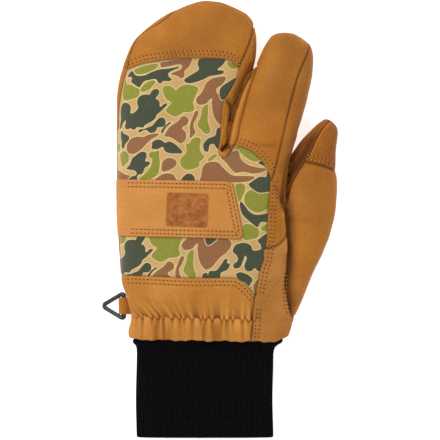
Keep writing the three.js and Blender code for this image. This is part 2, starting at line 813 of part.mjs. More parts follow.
function loopSolid() {
  const shape = new THREE.Shape();
  const rootLength = LOOP_REACH + 0.15 * HAND_WIDTH;
  shape.moveTo(rootLength, LOOP_THICKNESS);
  shape.lineTo(loopRadius * 1.2, LOOP_THICKNESS);
  shape.lineTo(0, loopRadius);
  shape.absarc(0, 0, loopRadius, Math.PI / 2, (3 * Math.PI) / 2, false);
  shape.lineTo(loopRadius * 1.2, -LOOP_THICKNESS);
  shape.lineTo(rootLength, -LOOP_THICKNESS);
  const eye = new THREE.Path();
  eye.absarc(0, 0, holeRadius, 0, 2 * Math.PI, true);
  shape.holes.push(eye);
  const geometry = new THREE.ExtrudeGeometry(shape, {
    depth: loopWidth,
    bevelEnabled: false,
    curveSegments: 10,
  });
  geometry.rotateX(Math.PI / 2).translate(barX, loopY + loopWidth / 2, LOOP_HEIGHT);
  return solidOf(geometry).subtract(form(SEAT_GAP));
}
solids.clip_loop = loopSolid();

// The clip: a triangle with bowed sides, resting with its tip on the surface.

function clipGeometry() {
  const half = CLIP_BAR_LENGTH / 2;
  const rod = CLIP_ROD / 2;
  const tip = CLIP_DEPTH;
  const bow = 0.1 * CLIP_DEPTH;
  const outline = (edge, end, point) => {
    const path = edge > 0 ? new THREE.Shape() : new THREE.Path();
    path.moveTo(edge, end - 1);
    path.lineTo(edge - Math.sign(edge) * 0.8, end);
    path.quadraticCurveTo(-tip / 2, end * 0.62 + bow, -point, 1.2);
    path.lineTo(-point, -1.2);
    path.quadraticCurveTo(-tip / 2, -end * 0.62 - bow, edge - Math.sign(edge) * 0.8, -end);
    path.lineTo(edge, 1 - end);
    path.closePath();
    return path;
  };
  const shape = outline(rod, half, tip);
  const eye = new THREE.Path();
  eye.moveTo(-rod, eyeHalf);
  eye.quadraticCurveTo(-tip / 2, eyeHalf * 0.58 + bow * 0.6, -tip + CLIP_ROD * 1.15, 0.3);
  eye.lineTo(-tip + CLIP_ROD * 1.15, -0.3);
  eye.quadraticCurveTo(-tip / 2, -eyeHalf * 0.58 - bow * 0.6, -rod, -eyeHalf);
  eye.closePath();
  shape.holes.push(eye);
  const bevel = 0.2 * CLIP_ROD;
  const geometry = new THREE.ExtrudeGeometry(shape, {
    depth: CLIP_ROD - 2 * bevel,
    bevelThickness: bevel,
    bevelSize: bevel,
    bevelOffset: -bevel,
    bevelSegments: 1,
    curveSegments: 8,
  });
  return geometry.translate(0, 0, bevel - rod);
}

// The group

const LEATHER = new THREE.MeshStandardMaterial({ color: 0xc08445, roughness: 0.75 });
const DARK_LEATHER = new THREE.MeshStandardMaterial({ color: 0xa86e36, roughness: 0.75 });
const CLOTH = new THREE.MeshStandardMaterial({ color: 0x8a9150, roughness: 0.9 });
const KNIT = new THREE.MeshStandardMaterial({ color: 0x121214, roughness: 0.95 });
const PLASTIC = new THREE.MeshStandardMaterial({ color: 0x1b1b1d, roughness: 0.45 });
const MATERIALS = {
  cloth_back: CLOTH,
  knit_cuff: KNIT,
  thumb_cap: DARK_LEATHER,
  finger_gusset: DARK_LEATHER,
};

function meshOf(name, solid) {
  const { vertProperties, triVerts, numProp } = solid.getMesh();
  const positions = new Float32Array((vertProperties.length / numProp) * 3);
  for (let i = 0; i < positions.length / 3; i += 1) {
    positions.set(vertProperties.subarray(i * numProp, i * numProp + 3), i * 3);
  }
  const geometry = new THREE.BufferGeometry();
  geometry.setAttribute("position", new THREE.BufferAttribute(positions, 3));
  geometry.setIndex(new THREE.BufferAttribute(triVerts, 1));
  geometry.computeVertexNormals();
  const mesh = new THREE.Mesh(geometry, MATERIALS[name] ?? LEATHER);
  mesh.name = name;
  return mesh;
}

const glove = new THREE.Group();
for (const [name, solid] of Object.entries(solids)) glove.add(meshOf(name, solid));

const clip = new THREE.Mesh(clipGeometry(), PLASTIC);
clip.name = "clip_ring";
const clipPivot = new THREE.Group();
clipPivot.position.set(barX, loopY, LOOP_HEIGHT);
clipPivot.rotation.y = -Math.asin((LOOP_HEIGHT - CLIP_ROD / 2) / CLIP_DEPTH);
clipPivot.add(clip);
glove.add(clipPivot);

// The origin is on the surface, under the middle of the glove.
glove.updateMatrixWorld(true);
const bounds = new THREE.Box3().setFromObject(glove, true);
const middle = bounds.getCenter(new THREE.Vector3());
glove.position.set(-middle.x, -middle.y, -bounds.min.z);

export default glove;
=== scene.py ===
"""Looks of a three-compartment work mitten for the left hand, lying palm down.

Lengths are in millimetres in the glove's own plan until a mesh is made: x across from the
little-finger edge, y along from the hem of the leather, z up from the surface it lies on.
"""

import json
import math

import bpy
import numpy as np
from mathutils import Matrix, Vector, noise
from mathutils.bvhtree import BVHTree
from mathutils.kdtree import KDTree


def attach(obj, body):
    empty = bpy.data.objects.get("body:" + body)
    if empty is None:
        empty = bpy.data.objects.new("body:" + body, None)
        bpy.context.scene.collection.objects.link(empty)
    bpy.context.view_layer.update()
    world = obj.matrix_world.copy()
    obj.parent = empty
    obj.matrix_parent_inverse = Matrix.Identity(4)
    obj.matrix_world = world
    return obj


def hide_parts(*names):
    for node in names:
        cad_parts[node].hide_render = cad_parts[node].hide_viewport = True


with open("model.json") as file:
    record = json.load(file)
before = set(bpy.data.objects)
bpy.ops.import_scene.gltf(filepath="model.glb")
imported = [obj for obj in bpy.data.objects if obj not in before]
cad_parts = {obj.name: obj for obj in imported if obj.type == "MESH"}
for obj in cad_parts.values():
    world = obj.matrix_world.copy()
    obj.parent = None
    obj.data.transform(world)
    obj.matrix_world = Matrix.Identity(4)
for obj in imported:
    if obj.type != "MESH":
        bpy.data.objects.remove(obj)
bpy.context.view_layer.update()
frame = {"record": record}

# Driving dimensions, as in the frame's own model
SHELL_LENGTH = 229.0
HAND_WIDTH = 113.0
HAND_HEIGHT = 36.0
INDEX_LENGTH = 117.0
INDEX_WIDTH = 39.0
INDEX_HEIGHT = 30.0
THUMB_LENGTH = 135.0
THUMB_WIDTH = 45.0
THUMB_HEIGHT = 27.0
SOFT_POWER = 2.3
CUFF_POWER = 2.5
INDEX_BASE = 0.395  # share of SHELL_LENGTH
THUMB_BASE = 0.059
CROTCH = 0.56
FINGER_GAP = -1.8  # the fingers press on each other above the crotch
FINGERS_PART = 0.805  # share of SHELL_LENGTH where they come apart

# What each layer stands over the form, and how its edges turn
LEATHER_LEVEL = 0.3
CLOTH_LEVEL = -0.5
STRAP_LEVEL = 1.5
LEATHER_WALL = 2.4
STRAP_WALL = 1.7
NET = 0.9  # spacing of the net of points over the form

ELASTIC_LEFT = 14.4  # height of the elastic along the glove, at its left and right ends
ELASTIC_RIGHT = 12.0
PUCKER_PITCH = 4.7
GATHER_RIGHT = 0.81  # share of the wrist's width

STRAP_AT = 0.388
STRAP_WIDTH = 38.5
STRAP_LENGTH = 86.0
STRAP_TILT = -0.02
PATCH_WIDTH = 27.0
PATCH_HEIGHT = 22.0
PATCH_CENTRE = 0.42
PATCH_DEPTH = 0.5
PATCH_ROUNDING = 1.3

CUFF_LENGTH = 67.0
CUFF_WIDTH = 93.0
CUFF_HEIGHT = 20.0
CUFF_TUCK = 5.0
KNIT_WALL = 3.0
RIB_COUNT = 92
RIB_DEPTH = 0.9

LOOP_AT = 0.094
LOOP_REACH = 3.3
LOOP_HEIGHT = 6.2
LOOP_THICKNESS = 1.3
CLIP_ROD = 3.0
CLIP_BAR_LENGTH = 18.4
CLIP_DEPTH = 15.5
CLIP_CLEARANCE = 0.4

# The photograph's frame, for what was charted on it
PHOTO_PIXELS = 440
MM_PER_PIXEL = 0.679
PHOTO_LEFT = 116.5  # column of the little-finger edge, x = 0
PHOTO_HEM = 338.0  # row of the hem, y = 0
PHOTO_FIELD = 0.2988  # metres across the photograph

OUTSIDE = 0.12

# Sections of the hand and the three-finger pocket: along is a share of SHELL_LENGTH, left and
# right of HAND_WIDTH, the heights of the seams and the bulges of HAND_HEIGHT.
SHELL_TABLE = [
    # along, left, right, seam left, seam right, back, palm
    (0.0, 0.075, 1.024, 0.36, 0.42, 0.37, 0.42),
    (0.018, 0.071, 1.041, 0.36, 0.43, 0.38, 0.43),
    (0.059, 0.087, 1.059, 0.34, 0.44, 0.35, 0.42),
    (0.095, 0.07, 1.045, 0.35, 0.47, 0.38, 0.44),
    (0.128, 0.054, 1.027, 0.37, 0.51, 0.4, 0.47),
    (0.16, 0.033, 1.02, 0.38, 0.54, 0.42, 0.49),
    (0.202, 0.022, 1.032, 0.39, 0.57, 0.44, 0.52),
    (0.261, 0.016, 1.036, 0.4, 0.61, 0.46, 0.54),
    (0.32, 0.009, 1.029, 0.41, 0.63, 0.47, 0.55),
    (0.38, 0.003, 1.014, 0.41, 0.64, 0.475, 0.56),
    (0.439, 0.001, 1.001, 0.41, 0.64, 0.475, 0.56),
    (0.475, 0.001, 1.006, 0.41, 0.63, 0.475, 0.56),
    (0.499, 0.0, 0.988, 0.41, 0.62, 0.475, 0.55),
    (0.519, 0.0, 0.934, 0.41, 0.6, 0.475, 0.55),
    (0.537, 0.0, 0.802, 0.41, 0.56, 0.47, 0.53),
    (0.552, 0.0, 0.706, 0.41, 0.54, 0.47, 0.52),
    (0.57, 0.0, 0.676, 0.41, 0.53, 0.465, 0.51),
    (0.605, 0.0, 0.677, 0.41, 0.5, 0.46, 0.5),
    (0.659, 0.0, 0.7, 0.41, 0.47, 0.45, 0.48),
    (0.712, 0.004, 0.739, 0.41, 0.45, 0.44, 0.47),
    (0.766, 0.019, 0.784, 0.4, 0.43, 0.425, 0.46),
    (0.807, 0.043, 0.823, 0.4, 0.42, 0.41, 0.45),
    (0.849, 0.075, 0.837, 0.39, 0.41, 0.39, 0.43),
    (0.884, 0.113, 0.838, 0.38, 0.39, 0.37, 0.4),
    (0.914, 0.171, 0.832, 0.37, 0.38, 0.34, 0.37),
    (0.938, 0.234, 0.82, 0.36, 0.37, 0.31, 0.33),
    (0.958, 0.297, 0.79, 0.355, 0.36, 0.27, 0.29),
    (0.976, 0.369, 0.73, 0.35, 0.35, 0.225, 0.24),
    (0.988, 0.423, 0.676, 0.345, 0.345, 0.175, 0.19),
    (0.996, 0.471, 0.634, 0.34, 0.34, 0.125, 0.13),
    (1.0, 0.508, 0.58, 0.34, 0.34, 0.07, 0.07),
]

# Sections of the index finger: left is a share of HAND_WIDTH, width of INDEX_WIDTH, the seam of
# HAND_HEIGHT, back and palm of INDEX_HEIGHT.
INDEX_TABLE = [
    # along, left, width, seam, back, palm
    (0.0, 0.754, 0.738, 0.6, 0.4, 0.4),
    (0.087, 0.73, 0.788, 0.6, 0.46, 0.47),
    (0.203, 0.706, 0.917, 0.585, 0.49, 0.5),
    (0.279, 0.69, 1.029, 0.57, 0.5, 0.51),
    (0.343, 0.685, 1.1, 0.555, 0.5, 0.515),
    (0.413, 0.686, 1.154, 0.54, 0.5, 0.52),
    (0.506, 0.709, 1.172, 0.515, 0.5, 0.53),
    (0.587, 0.736, 1.168, 0.495, 0.495, 0.54),
    (0.663, 0.761, 1.147, 0.475, 0.485, 0.55),
    (0.727, 0.792, 1.1, 0.46, 0.48, 0.55),
    (0.785, 0.829, 1.017, 0.45, 0.47, 0.55),
    (0.843, 0.855, 0.948, 0.44, 0.455, 0.53),
    (0.89, 0.877, 0.867, 0.43, 0.43, 0.5),
    (0.924, 0.895, 0.78, 0.42, 0.39, 0.45),
    (0.956, 0.914, 0.626, 0.41, 0.33, 0.38),
    (0.98, 0.933, 0.466, 0.4, 0.26, 0.28),
    (0.993, 0.957, 0.317, 0.395, 0.19, 0.2),
    (1.0, 0.984, 0.134, 0.39, 0.11, 0.11),
]

# Sections of the thumb: left is a share of HAND_WIDTH, width of THUMB_WIDTH, the rest of
# THUMB_HEIGHT.
THUMB_TABLE = [
    # along, left, width, seam left, seam right, back, palm
    (0.0, 0.874, 0.474, 0.38, 0.46, 0.4, 0.46),
    (0.051, 0.868, 0.568, 0.36, 0.46, 0.44, 0.48),
    (0.126, 0.874, 0.65, 0.34, 0.46, 0.46, 0.5),
    (0.242, 0.886, 0.763, 0.32, 0.46, 0.48, 0.51),
    (0.333, 0.898, 0.861, 0.31, 0.46, 0.49, 0.52),
    (0.424, 0.91, 0.937, 0.31, 0.47, 0.5, 0.53),
    (0.52, 0.931, 0.959, 0.31, 0.48, 0.51, 0.54),
    (0.621, 0.958, 0.921, 0.33, 0.48, 0.51, 0.54),
    (0.697, 0.982, 0.861, 0.36, 0.48, 0.5, 0.53),
    (0.747, 1.003, 0.784, 0.38, 0.47, 0.49, 0.52),
    (0.798, 1.033, 0.71, 0.39, 0.46, 0.47, 0.5),
    (0.848, 1.072, 0.619, 0.4, 0.45, 0.44, 0.47),
    (0.899, 1.117, 0.524, 0.4, 0.43, 0.4, 0.43),
    (0.939, 1.162, 0.423, 0.39, 0.41, 0.35, 0.37),
    (0.962, 1.191, 0.335, 0.38, 0.39, 0.3, 0.31),
    (0.98, 1.216, 0.23, 0.37, 0.37, 0.23, 0.24),
    (0.992, 1.236, 0.139, 0.37, 0.37, 0.16, 0.16),
    (1.0, 1.249, 0.068, 0.37, 0.37, 0.09, 0.09),
]


# Curves and tables


def smooth_steps(x, values, at):
    """A smooth curve through the points (x, values) that never overshoots them, read at at."""
    gap = np.diff(x)
    slope = np.diff(values) / gap
    tangent = np.zeros(len(x))
    tangent[0] = slope[0]
    tangent[-1] = slope[-1]
    for i in range(1, len(x) - 1):
        if slope[i - 1] * slope[i] > 0:
            tangent[i] = 2 * slope[i - 1] * slope[i] / (slope[i - 1] + slope[i])
    i = np.clip(np.searchsorted(x, at) - 1, 0, len(x) - 2)
    t = (at - x[i]) / gap[i]
    start = values[i] * (1 + 2 * t) * (1 - t) ** 2 + tangent[i] * gap[i] * t * (1 - t) ** 2
    end = values[i + 1] * t**2 * (3 - 2 * t) + tangent[i + 1] * gap[i] * t**2 * (t - 1)
    return start + end


def tube(rows, base, length, scales):
    """Sections of a soft tube along y, closely spaced. scales says what each column is a share of."""
    rows = np.array(rows)
    along = np.linspace(0, 1, 900)
    sections = {"y": base + along * length}
    for column, (name, scale) in enumerate(scales, start=1):
        sections[name] = smooth_steps(rows[:, 0], rows[:, column] * scale, along)
    return sections


shell = tube(
    SHELL_TABLE,
    0.0,
    SHELL_LENGTH,
    [
        ("left", HAND_WIDTH),
        ("right", HAND_WIDTH),
        ("seam_left", HAND_HEIGHT),
        ("seam_right", HAND_HEIGHT),
        ("back", HAND_HEIGHT),
        ("palm", HAND_HEIGHT),
    ],
)
index = tube(
    INDEX_TABLE,
    INDEX_BASE * SHELL_LENGTH,
    INDEX_LENGTH,
    [
        ("left", HAND_WIDTH),
        ("width", INDEX_WIDTH),
        ("seam_left", HAND_HEIGHT),
        ("back", INDEX_HEIGHT),
        ("palm", INDEX_HEIGHT),
    ],
)
index["right"] = index["left"] + index["width"]
index["seam_right"] = index["seam_left"]


def fingers_touch(y):
    """How far the fingers press on each other at a height along the glove, from 0 to 1."""
    up = np.clip((y - CROTCH * SHELL_LENGTH) / 4, 0, 1)
    touch = up * np.clip((FINGERS_PART - y / SHELL_LENGTH) / 0.035, 0, 1)
    return touch**2 * (3 - 2 * touch)


shell["right"] = shell["right"] - FINGER_GAP / 2 * fingers_touch(shell["y"])
pocket_edge = np.interp(index["y"], shell["y"], shell["right"]) + FINGER_GAP
above_crotch = np.clip((index["y"] - CROTCH * SHELL_LENGTH) / 4, 0, 1)
kept_clear = np.maximum(index["left"], pocket_edge)
index["left"] = index["left"] + (kept_clear - index["left"]) * above_crotch
index["chart_left"] = index["left"].copy()
pressed_left = np.minimum(index["left"], pocket_edge)
index["left"] = index["left"] + (pressed_left - index["left"]) * fingers_touch(index["y"])
thumb = tube(
    THUMB_TABLE,
    THUMB_BASE * SHELL_LENGTH,
    THUMB_LENGTH,
    [
        ("left", HAND_WIDTH),
        ("width", THUMB_WIDTH),
        ("seam_left", THUMB_HEIGHT),
        ("seam_right", THUMB_HEIGHT),
        ("back", THUMB_HEIGHT),
        ("palm", THUMB_HEIGHT),
    ],
)
thumb["right"] = thumb["left"] + thumb["width"]


def at(sections, name, y):
    return np.interp(y, sections["y"], sections[name])


def curve(points, spacing=1.0):
    """A smooth open curve through points, as closely spaced points."""
    points = np.asarray(points, float)
    ends = [2 * points[0] - points[1]], [2 * points[-1] - points[-2]]
    padded = np.concatenate([ends[0], points, ends[1]])
    out = []
    for a, b, c, d in zip(padded, padded[1:], padded[2:], padded[3:]):
        steps = max(2, int(np.linalg.norm(c - b) / spacing))
        for t in np.arange(steps) / steps:
            line = 0.5 * (2 * b + (c - a) * t + (2 * a - 5 * b + 4 * c - d) * t**2)
            out.append(line + 0.5 * (3 * b - a - 3 * c + d) * t**3)
    out.append(points[-1])
    return np.array(out)


def even(points, spacing):
    """Points spaced evenly along a polyline."""
    points = np.asarray(points, float)
    steps = np.linalg.norm(np.diff(points, axis=0), axis=1)
    length = np.concatenate([[0], np.cumsum(steps)])
    count = max(2, int(round(length[-1] / spacing)) + 1)
    wanted = np.linspace(0, length[-1], count)
    return np.stack([np.interp(wanted, length, column) for column in points.T], axis=1)


def beside(points, distance):
    """A polyline in plan moved to its left by a distance."""
    points = np.asarray(points, float)
    run = np.gradient(points, axis=0)
    run /= np.linalg.norm(run, axis=1)[:, None]
    return points + distance * np.stack([-run[:, 1], run[:, 0]], axis=1)


def on_hand(rows):
    return np.array(rows) * [HAND_WIDTH, SHELL_LENGTH]


def on_tube(sections, base, length, rows):
    out = []
    for along, across in rows:
        y = base + along * length
        left = at(sections, "chart_left" if "chart_left" in sections else "left", y)
        right = at(sections, "right", y)
        out.append((left + (right - left) * (across + 1) / 2, y))
    return np.array(out)


def on_index(rows):
    return on_tube(index, INDEX_BASE * SHELL_LENGTH, INDEX_LENGTH, rows)


def on_thumb(rows):
    return on_tube(thumb, THUMB_BASE * SHELL_LENGTH, THUMB_LENGTH, rows)


def from_photo(points):
    """Plan positions of points charted on the photograph."""
    points = np.asarray(points, float)
    return (points - [PHOTO_LEFT, PHOTO_HEM]) * [MM_PER_PIXEL, -MM_PER_PIXEL]


def distance_to_line(points, line):
    """Distance in plan from each point to a polyline."""
    best = np.full(len(points), 1e9)
    for a, b in zip(line[:-1], line[1:]):
        run = b - a
        t = np.clip(((points - a) @ run) / max(run @ run, 1e-9), 0, 1)
        best = np.minimum(best, np.linalg.norm(points - a - t[:, None] * run, axis=1))
    return best


def inside_outline(points, outline, reach=6.0):
    """Signed distance in plan to a closed outline, positive inside, no further out than reach."""
    low = outline.min(axis=0) - reach
    high = outline.max(axis=0) + reach
    near = np.all((points > low) & (points < high), axis=1)
    out = np.full(len(points), -reach)
    close = points[near]
    closed = np.concatenate([outline, outline[:1]])
    inside = np.zeros(len(close), bool)
    for (ax, ay), (bx, by) in zip(closed[:-1], closed[1:]):
        if ay != by:
            crosses = (ay > close[:, 1]) != (by > close[:, 1])
            x = ax + (close[:, 1] - ay) * (bx - ax) / (by - ay)
            inside ^= crosses & (close[:, 0] < x)
    distance = distance_to_line(close, closed)
    out[near] = np.where(inside, distance, -np.minimum(distance, reach))
    return out


# The form: soft tubes joined smoothly, flat where they lie


def tube_distance(sections, points, open_start=False):
    """Roughly the distance from each point to a tube's surface, negative inside."""
    x, y, z = points.T
    left = at(sections, "left", y)
    half = (at(sections, "right", y) - left) / 2
    across = (x - left - half) / half
    share = (np.clip(across, -1, 1) + 1) / 2
    seam_left = at(sections, "seam_left", y)
    rise = z - seam_left - (at(sections, "seam_right", y) - seam_left) * share
    bulge = np.where(rise > 0, at(sections, "back", y), at(sections, "palm", y))
    u = np.abs(across)
    v = np.abs(rise) / bulge
    level = (u**SOFT_POWER + v**SOFT_POWER) ** (1 / SOFT_POWER) + 1e-6
    steep = np.hypot(u ** (SOFT_POWER - 1) / half, v ** (SOFT_POWER - 1) / bulge)
    slope = steep * level ** (1 - SOFT_POWER)
    distance = np.clip((level - 1) / np.maximum(slope, 1e-3), -15, 60)
    past = y - sections["y"][-1]
    if not open_start:
        past = np.maximum(past, sections["y"][0] - y)
    return np.where(past > 0, np.hypot(np.maximum(distance, 0), past), distance)


def smooth_least(a, b, rounding):
    share = np.clip(0.5 + 0.5 * (b - a) / rounding, 0, 1)
    return b + (a - b) * share - rounding * share * (1 - share)


INDEX_ROUNDING = 7.0  # how softly the index finger grows out of the hand
THUMB_ROUNDING = 4.0
FLOOR_ROUNDING = 2.0
THUMB_PARTS_AT = 0.5  # share of SHELL_LENGTH


def form_distance(points):
    y = points[:, 1]
    hand = tube_distance(shell, points, open_start=True)
    below = np.clip((CROTCH * SHELL_LENGTH - y) / 12, 0.03, 1)
    hand = smooth_least(hand, tube_distance(index, points), INDEX_ROUNDING * below)
    below = np.clip((THUMB_PARTS_AT * SHELL_LENGTH - y) / 12, 0.05, 1)
    whole = smooth_least(hand, tube_distance(thumb, points), THUMB_ROUNDING * below)
    return -smooth_least(-whole, points[:, 2], FLOOR_ROUNDING)


def slope_of(field, points, step=0.25):
    out = np.empty_like(points)
    for axis in range(3):
        shift = np.zeros(3)
        shift[axis] = step
        out[:, axis] = (field(points + shift) - field(points - shift)) / (2 * step)
    return out


def net_over(field, low, high, step):
    """Points and triangles of a net over the surface where a field is zero."""
    axes = [np.arange(a, b, step) for a, b in zip(low, high)]
    grid = np.stack(np.meshgrid(*axes, indexing="ij"), axis=-1).reshape(-1, 3)
    values = np.concatenate([field(part) for part in np.array_split(grid, 12)])
    values = values.reshape([len(axis) for axis in axes])
    inside = values < 0
    corners = [(i, j, k) for i in (0, 1) for j in (0, 1) for k in (0, 1)]
    size = [n - 1 for n in values.shape]

    def corner(array, shift):
        return array[tuple(slice(s, s + n) for s, n in zip(shift, size))]

    count = sum(corner(inside, shift).astype(np.int8) for shift in corners)
    cells = np.argwhere((count > 0) & (count < 8))
    number = np.full(size, -1, np.int64)
    number[tuple(cells.T)] = np.arange(len(cells))
    total = np.zeros((len(cells), 3))
    hits = np.zeros(len(cells))
    for a in corners:
        for axis in range(3):
            if a[axis]:
                continue
            b = list(a)
            b[axis] = 1
            va = values[tuple((cells + a).T)]
            vb = values[tuple((cells + b).T)]
            crossing = (va < 0) != (vb < 0)
            t = np.where(crossing, va / np.where(crossing, va - vb, 1), 0)
            place = np.array(a, float)[None] + t[:, None] * (np.array(b) - a)[None]
            total += place * crossing[:, None]
            hits += crossing
    points = (cells + total / hits[:, None]) * step + low
    quads = []
    for axis, (p, q) in enumerate(((1, 2), (0, 2), (0, 1))):
        near = np.take(inside, range(values.shape[axis] - 1), axis=axis)
        far = np.take(inside, range(1, values.shape[axis]), axis=axis)
        edges = np.argwhere(near != far)
        edges = edges[np.all(edges[:, [p, q]] > 0, axis=1)]
        edges = edges[np.all(edges[:, [p, q]] < np.array(size)[[p, q]], axis=1)]
        outward = near[tuple(edges.T)]
        if axis == 1:
            outward = ~outward
        ring = []
        for dp, dq in ((-1, -1), (0, -1), (0, 0), (-1, 0)):
            cell = edges.copy()
            cell[:, p] += dp
            cell[:, q] += dq
            ring.append(number[tuple(cell.T)])
        ring = np.stack(ring, axis=1)
        ring[~outward] = ring[~outward][:, ::-1]
        quads.append(ring)
    return points, np.concatenate(quads)


def halves(quads, points):
    """Two triangles for each quad, across its shorter diagonal."""
    a, b, c, d = (points[quads[:, i]] for i in range(4))
    first = np.linalg.norm(a - c, axis=1) <= np.linalg.norm(b - d, axis=1)
    one = np.where(first[:, None], quads[:, [0, 1, 2]], quads[:, [0, 1, 3]])
    two = np.where(first[:, None], quads[:, [0, 2, 3]], quads[:, [1, 2, 3]])
    return np.concatenate([one, two])


def relaxed(points, quads, field, rounds=4):
    """The net's points spread evenly over the field's surface."""
    links = np.concatenate([quads, np.roll(quads, -1, axis=1)]).reshape(2, -1)
    for _ in range(rounds):
        total = np.zeros_like(points)
        near = np.zeros(len(points))
        for a, b in (links, links[::-1]):
            np.add.at(total, a, points[b])
            np.add.at(near, a, 1)
        points = points + 0.5 * (total / near[:, None] - points)
        slope = slope_of(field, points)
        step = field(points) / np.maximum((slope**2).sum(axis=1), 0.05)
        points = points - np.clip(step, -1.5, 1.5)[:, None] * slope
    return points


# A skin: points, triangles, and marks, which are values kept for each point


class Skin:
    def __init__(self, points, faces, marks, panel):
        self.points = points
        self.faces = faces
        self.marks = marks
        self.panel = panel

    def part(self, wanted):
        """The triangles that are wanted, with their points alone."""
        used, faces = np.unique(self.faces[wanted], return_inverse=True)
        marks = {name: rows[used] for name, rows in self.marks.items()}
        return Skin(self.points[used], faces.reshape(-1, 3), marks, self.panel[wanted])

    def split(self, name, level=0.0, snap=0.02):
        """Cuts the triangles along one level of a mark, and keeps both sides."""
        s = self.marks[name] - level
        s = np.where(np.abs(s) < snap, 0.0, s)
        f = self.faces
        g = np.roll(f, -1, axis=1)
        crossing = s[f] * s[g] < 0
        count = len(self.points)
        keys = np.minimum(f, g) * count + np.maximum(f, g)
        cut, where = np.unique(keys[crossing], return_inverse=True)
        if not len(cut):
            return
        a = cut // count
        b = cut % count
        t = s[a] / (s[a] - s[b])
        fresh = np.full(f.shape, -1, np.int64)
        fresh[crossing] = count + where.reshape(-1)

        def between(rows):
            share = t if rows.ndim == 1 else t[:, None]
            return np.concatenate([rows, rows[a] * (1 - share) + rows[b] * share])

        self.points = between(self.points)
        self.marks = {key: between(rows) for key, rows in self.marks.items()}
        self.marks[name][count:] = level
        cuts = crossing.sum(axis=1)
        faces = [f[cuts == 0]]
        panels = [self.panel[cuts == 0]]
        for k in range(3):
            i, j, o = k, (k + 1) % 3, (k + 2) % 3
            one = (cuts == 1) & crossing[:, k]
            p, q, r, m = f[one, i], f[one, j], f[one, o], fresh[one, k]
            faces += [np.stack([r, p, m], axis=1), np.stack([r, m, q], axis=1)]
            panels += [self.panel[one]] * 2
            two = (cuts == 2) & ~crossing[:, k]
            p, q, r = f[two, i], f[two, j], f[two, o]
            m, n = fresh[two, j], fresh[two, o]
            faces += [np.stack([r, n, m], axis=1), np.stack([p, q, m], axis=1)]
            faces += [np.stack([p, m, n], axis=1)]
            panels += [self.panel[two]] * 3
        self.faces = np.concatenate(faces)
        self.panel = np.concatenate(panels)

    def refine(self):
        """Cuts every triangle into four."""
        f = self.faces
        g = np.roll(f, -1, axis=1)
        count = len(self.points)
        keys = np.minimum(f, g) * count + np.maximum(f, g)
        edges, where = np.unique(keys, return_inverse=True)
        a = edges // count
        b = edges % count
        middle = count + where.reshape(-1, 3)
        self.points = np.concatenate([self.points, (self.points[a] + self.points[b]) / 2])
        for key, rows in self.marks.items():
            self.marks[key] = np.concatenate([rows, (rows[a] + rows[b]) / 2])
        corners = [
            np.stack([f[:, i], middle[:, i], middle[:, (i + 2) % 3]], axis=1) for i in range(3)
        ]
        self.faces = np.concatenate(corners + [middle])
        self.panel = np.tile(self.panel, 4)

    def boundary(self):
        """Directed edges that only one triangle has, as pairs of points."""
        f = self.faces
        edges = np.stack([f, np.roll(f, -1, axis=1)], axis=2).reshape(-1, 2)
        count = len(self.points)
        there = edges[:, 0] * count + edges[:, 1]
        back = edges[:, 1] * count + edges[:, 0]
        return edges[~np.isin(there, back)]


def unit(rows):
    return rows / np.maximum(np.linalg.norm(rows, axis=1), 1e-9)[:, None]


def nearness(points, segments, reach=12.0):
    """Distance from each point to the nearest of some segments, up to a reach."""
    if not len(segments):
        return np.full(len(points), reach)
    shares = np.linspace(0, 1, 5)[None, :, None]
    dots = segments[:, :1] + (segments[:, 1:] - segments[:, :1]) * shares
    dots = dots.reshape(-1, 3)
    tree = KDTree(len(dots))
    for i, dot in enumerate(dots):
        tree.insert(dot, i)
    tree.balance()
    return np.array([min(tree.find(point)[2], reach) for point in points])


# Where the glove's own plan lies in the frame: the clip's bar is a point of both
clip_joint = frame["record"]["behaviour"]["joints"][0]["pos_m"]
LOOP_Y = LOOP_AT * SHELL_LENGTH
BAR_X = float(at(shell, "left", LOOP_Y)) - LOOP_REACH
ORIGIN = np.array([clip_joint[0] * 1000 - BAR_X, clip_joint[1] * 1000 - LOOP_Y, 0.0])


def in_frame(points):
    return (points + ORIGIN) / 1000


def make_object(name, points, faces, materials, slots=None, marks=None):
    """A mesh object in the frame. slots is the material number of each face."""
    faces = np.asarray(faces, np.int32)
    sides = faces.shape[1]
    mesh = bpy.data.meshes.new(name)
    mesh.vertices.add(len(points))
    mesh.vertices.foreach_set("co", in_frame(points).astype(np.float32).ravel())
    mesh.loops.add(faces.size)
    mesh.loops.foreach_set("vertex_index", faces.ravel())
    mesh.polygons.add(len(faces))
    mesh.polygons.foreach_set("loop_start", np.arange(0, faces.size, sides, dtype=np.int32))
    mesh.polygons.foreach_set("use_smooth", np.ones(len(faces), bool))
    if slots is not None:
        mesh.polygons.foreach_set("material_index", np.asarray(slots, np.int32))
    for material in materials:
        mesh.materials.append(material)
    for key, rows in (marks or {}).items():
        layer = mesh.attributes.new(key, "FLOAT", "POINT")
        layer.data.foreach_set("value", rows.astype(np.float32))
    mesh.update(calc_edges=True)
    mesh.validate()
    obj = bpy.data.objects.new(name, mesh)
    bpy.context.scene.collection.objects.link(obj)
    return obj


def finish_piece(obj, body, slot, *nodes):
    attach(obj, body)
    if nodes:
        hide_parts(*nodes)


# Panel outlines, as in the frame's own model, with smooth seams

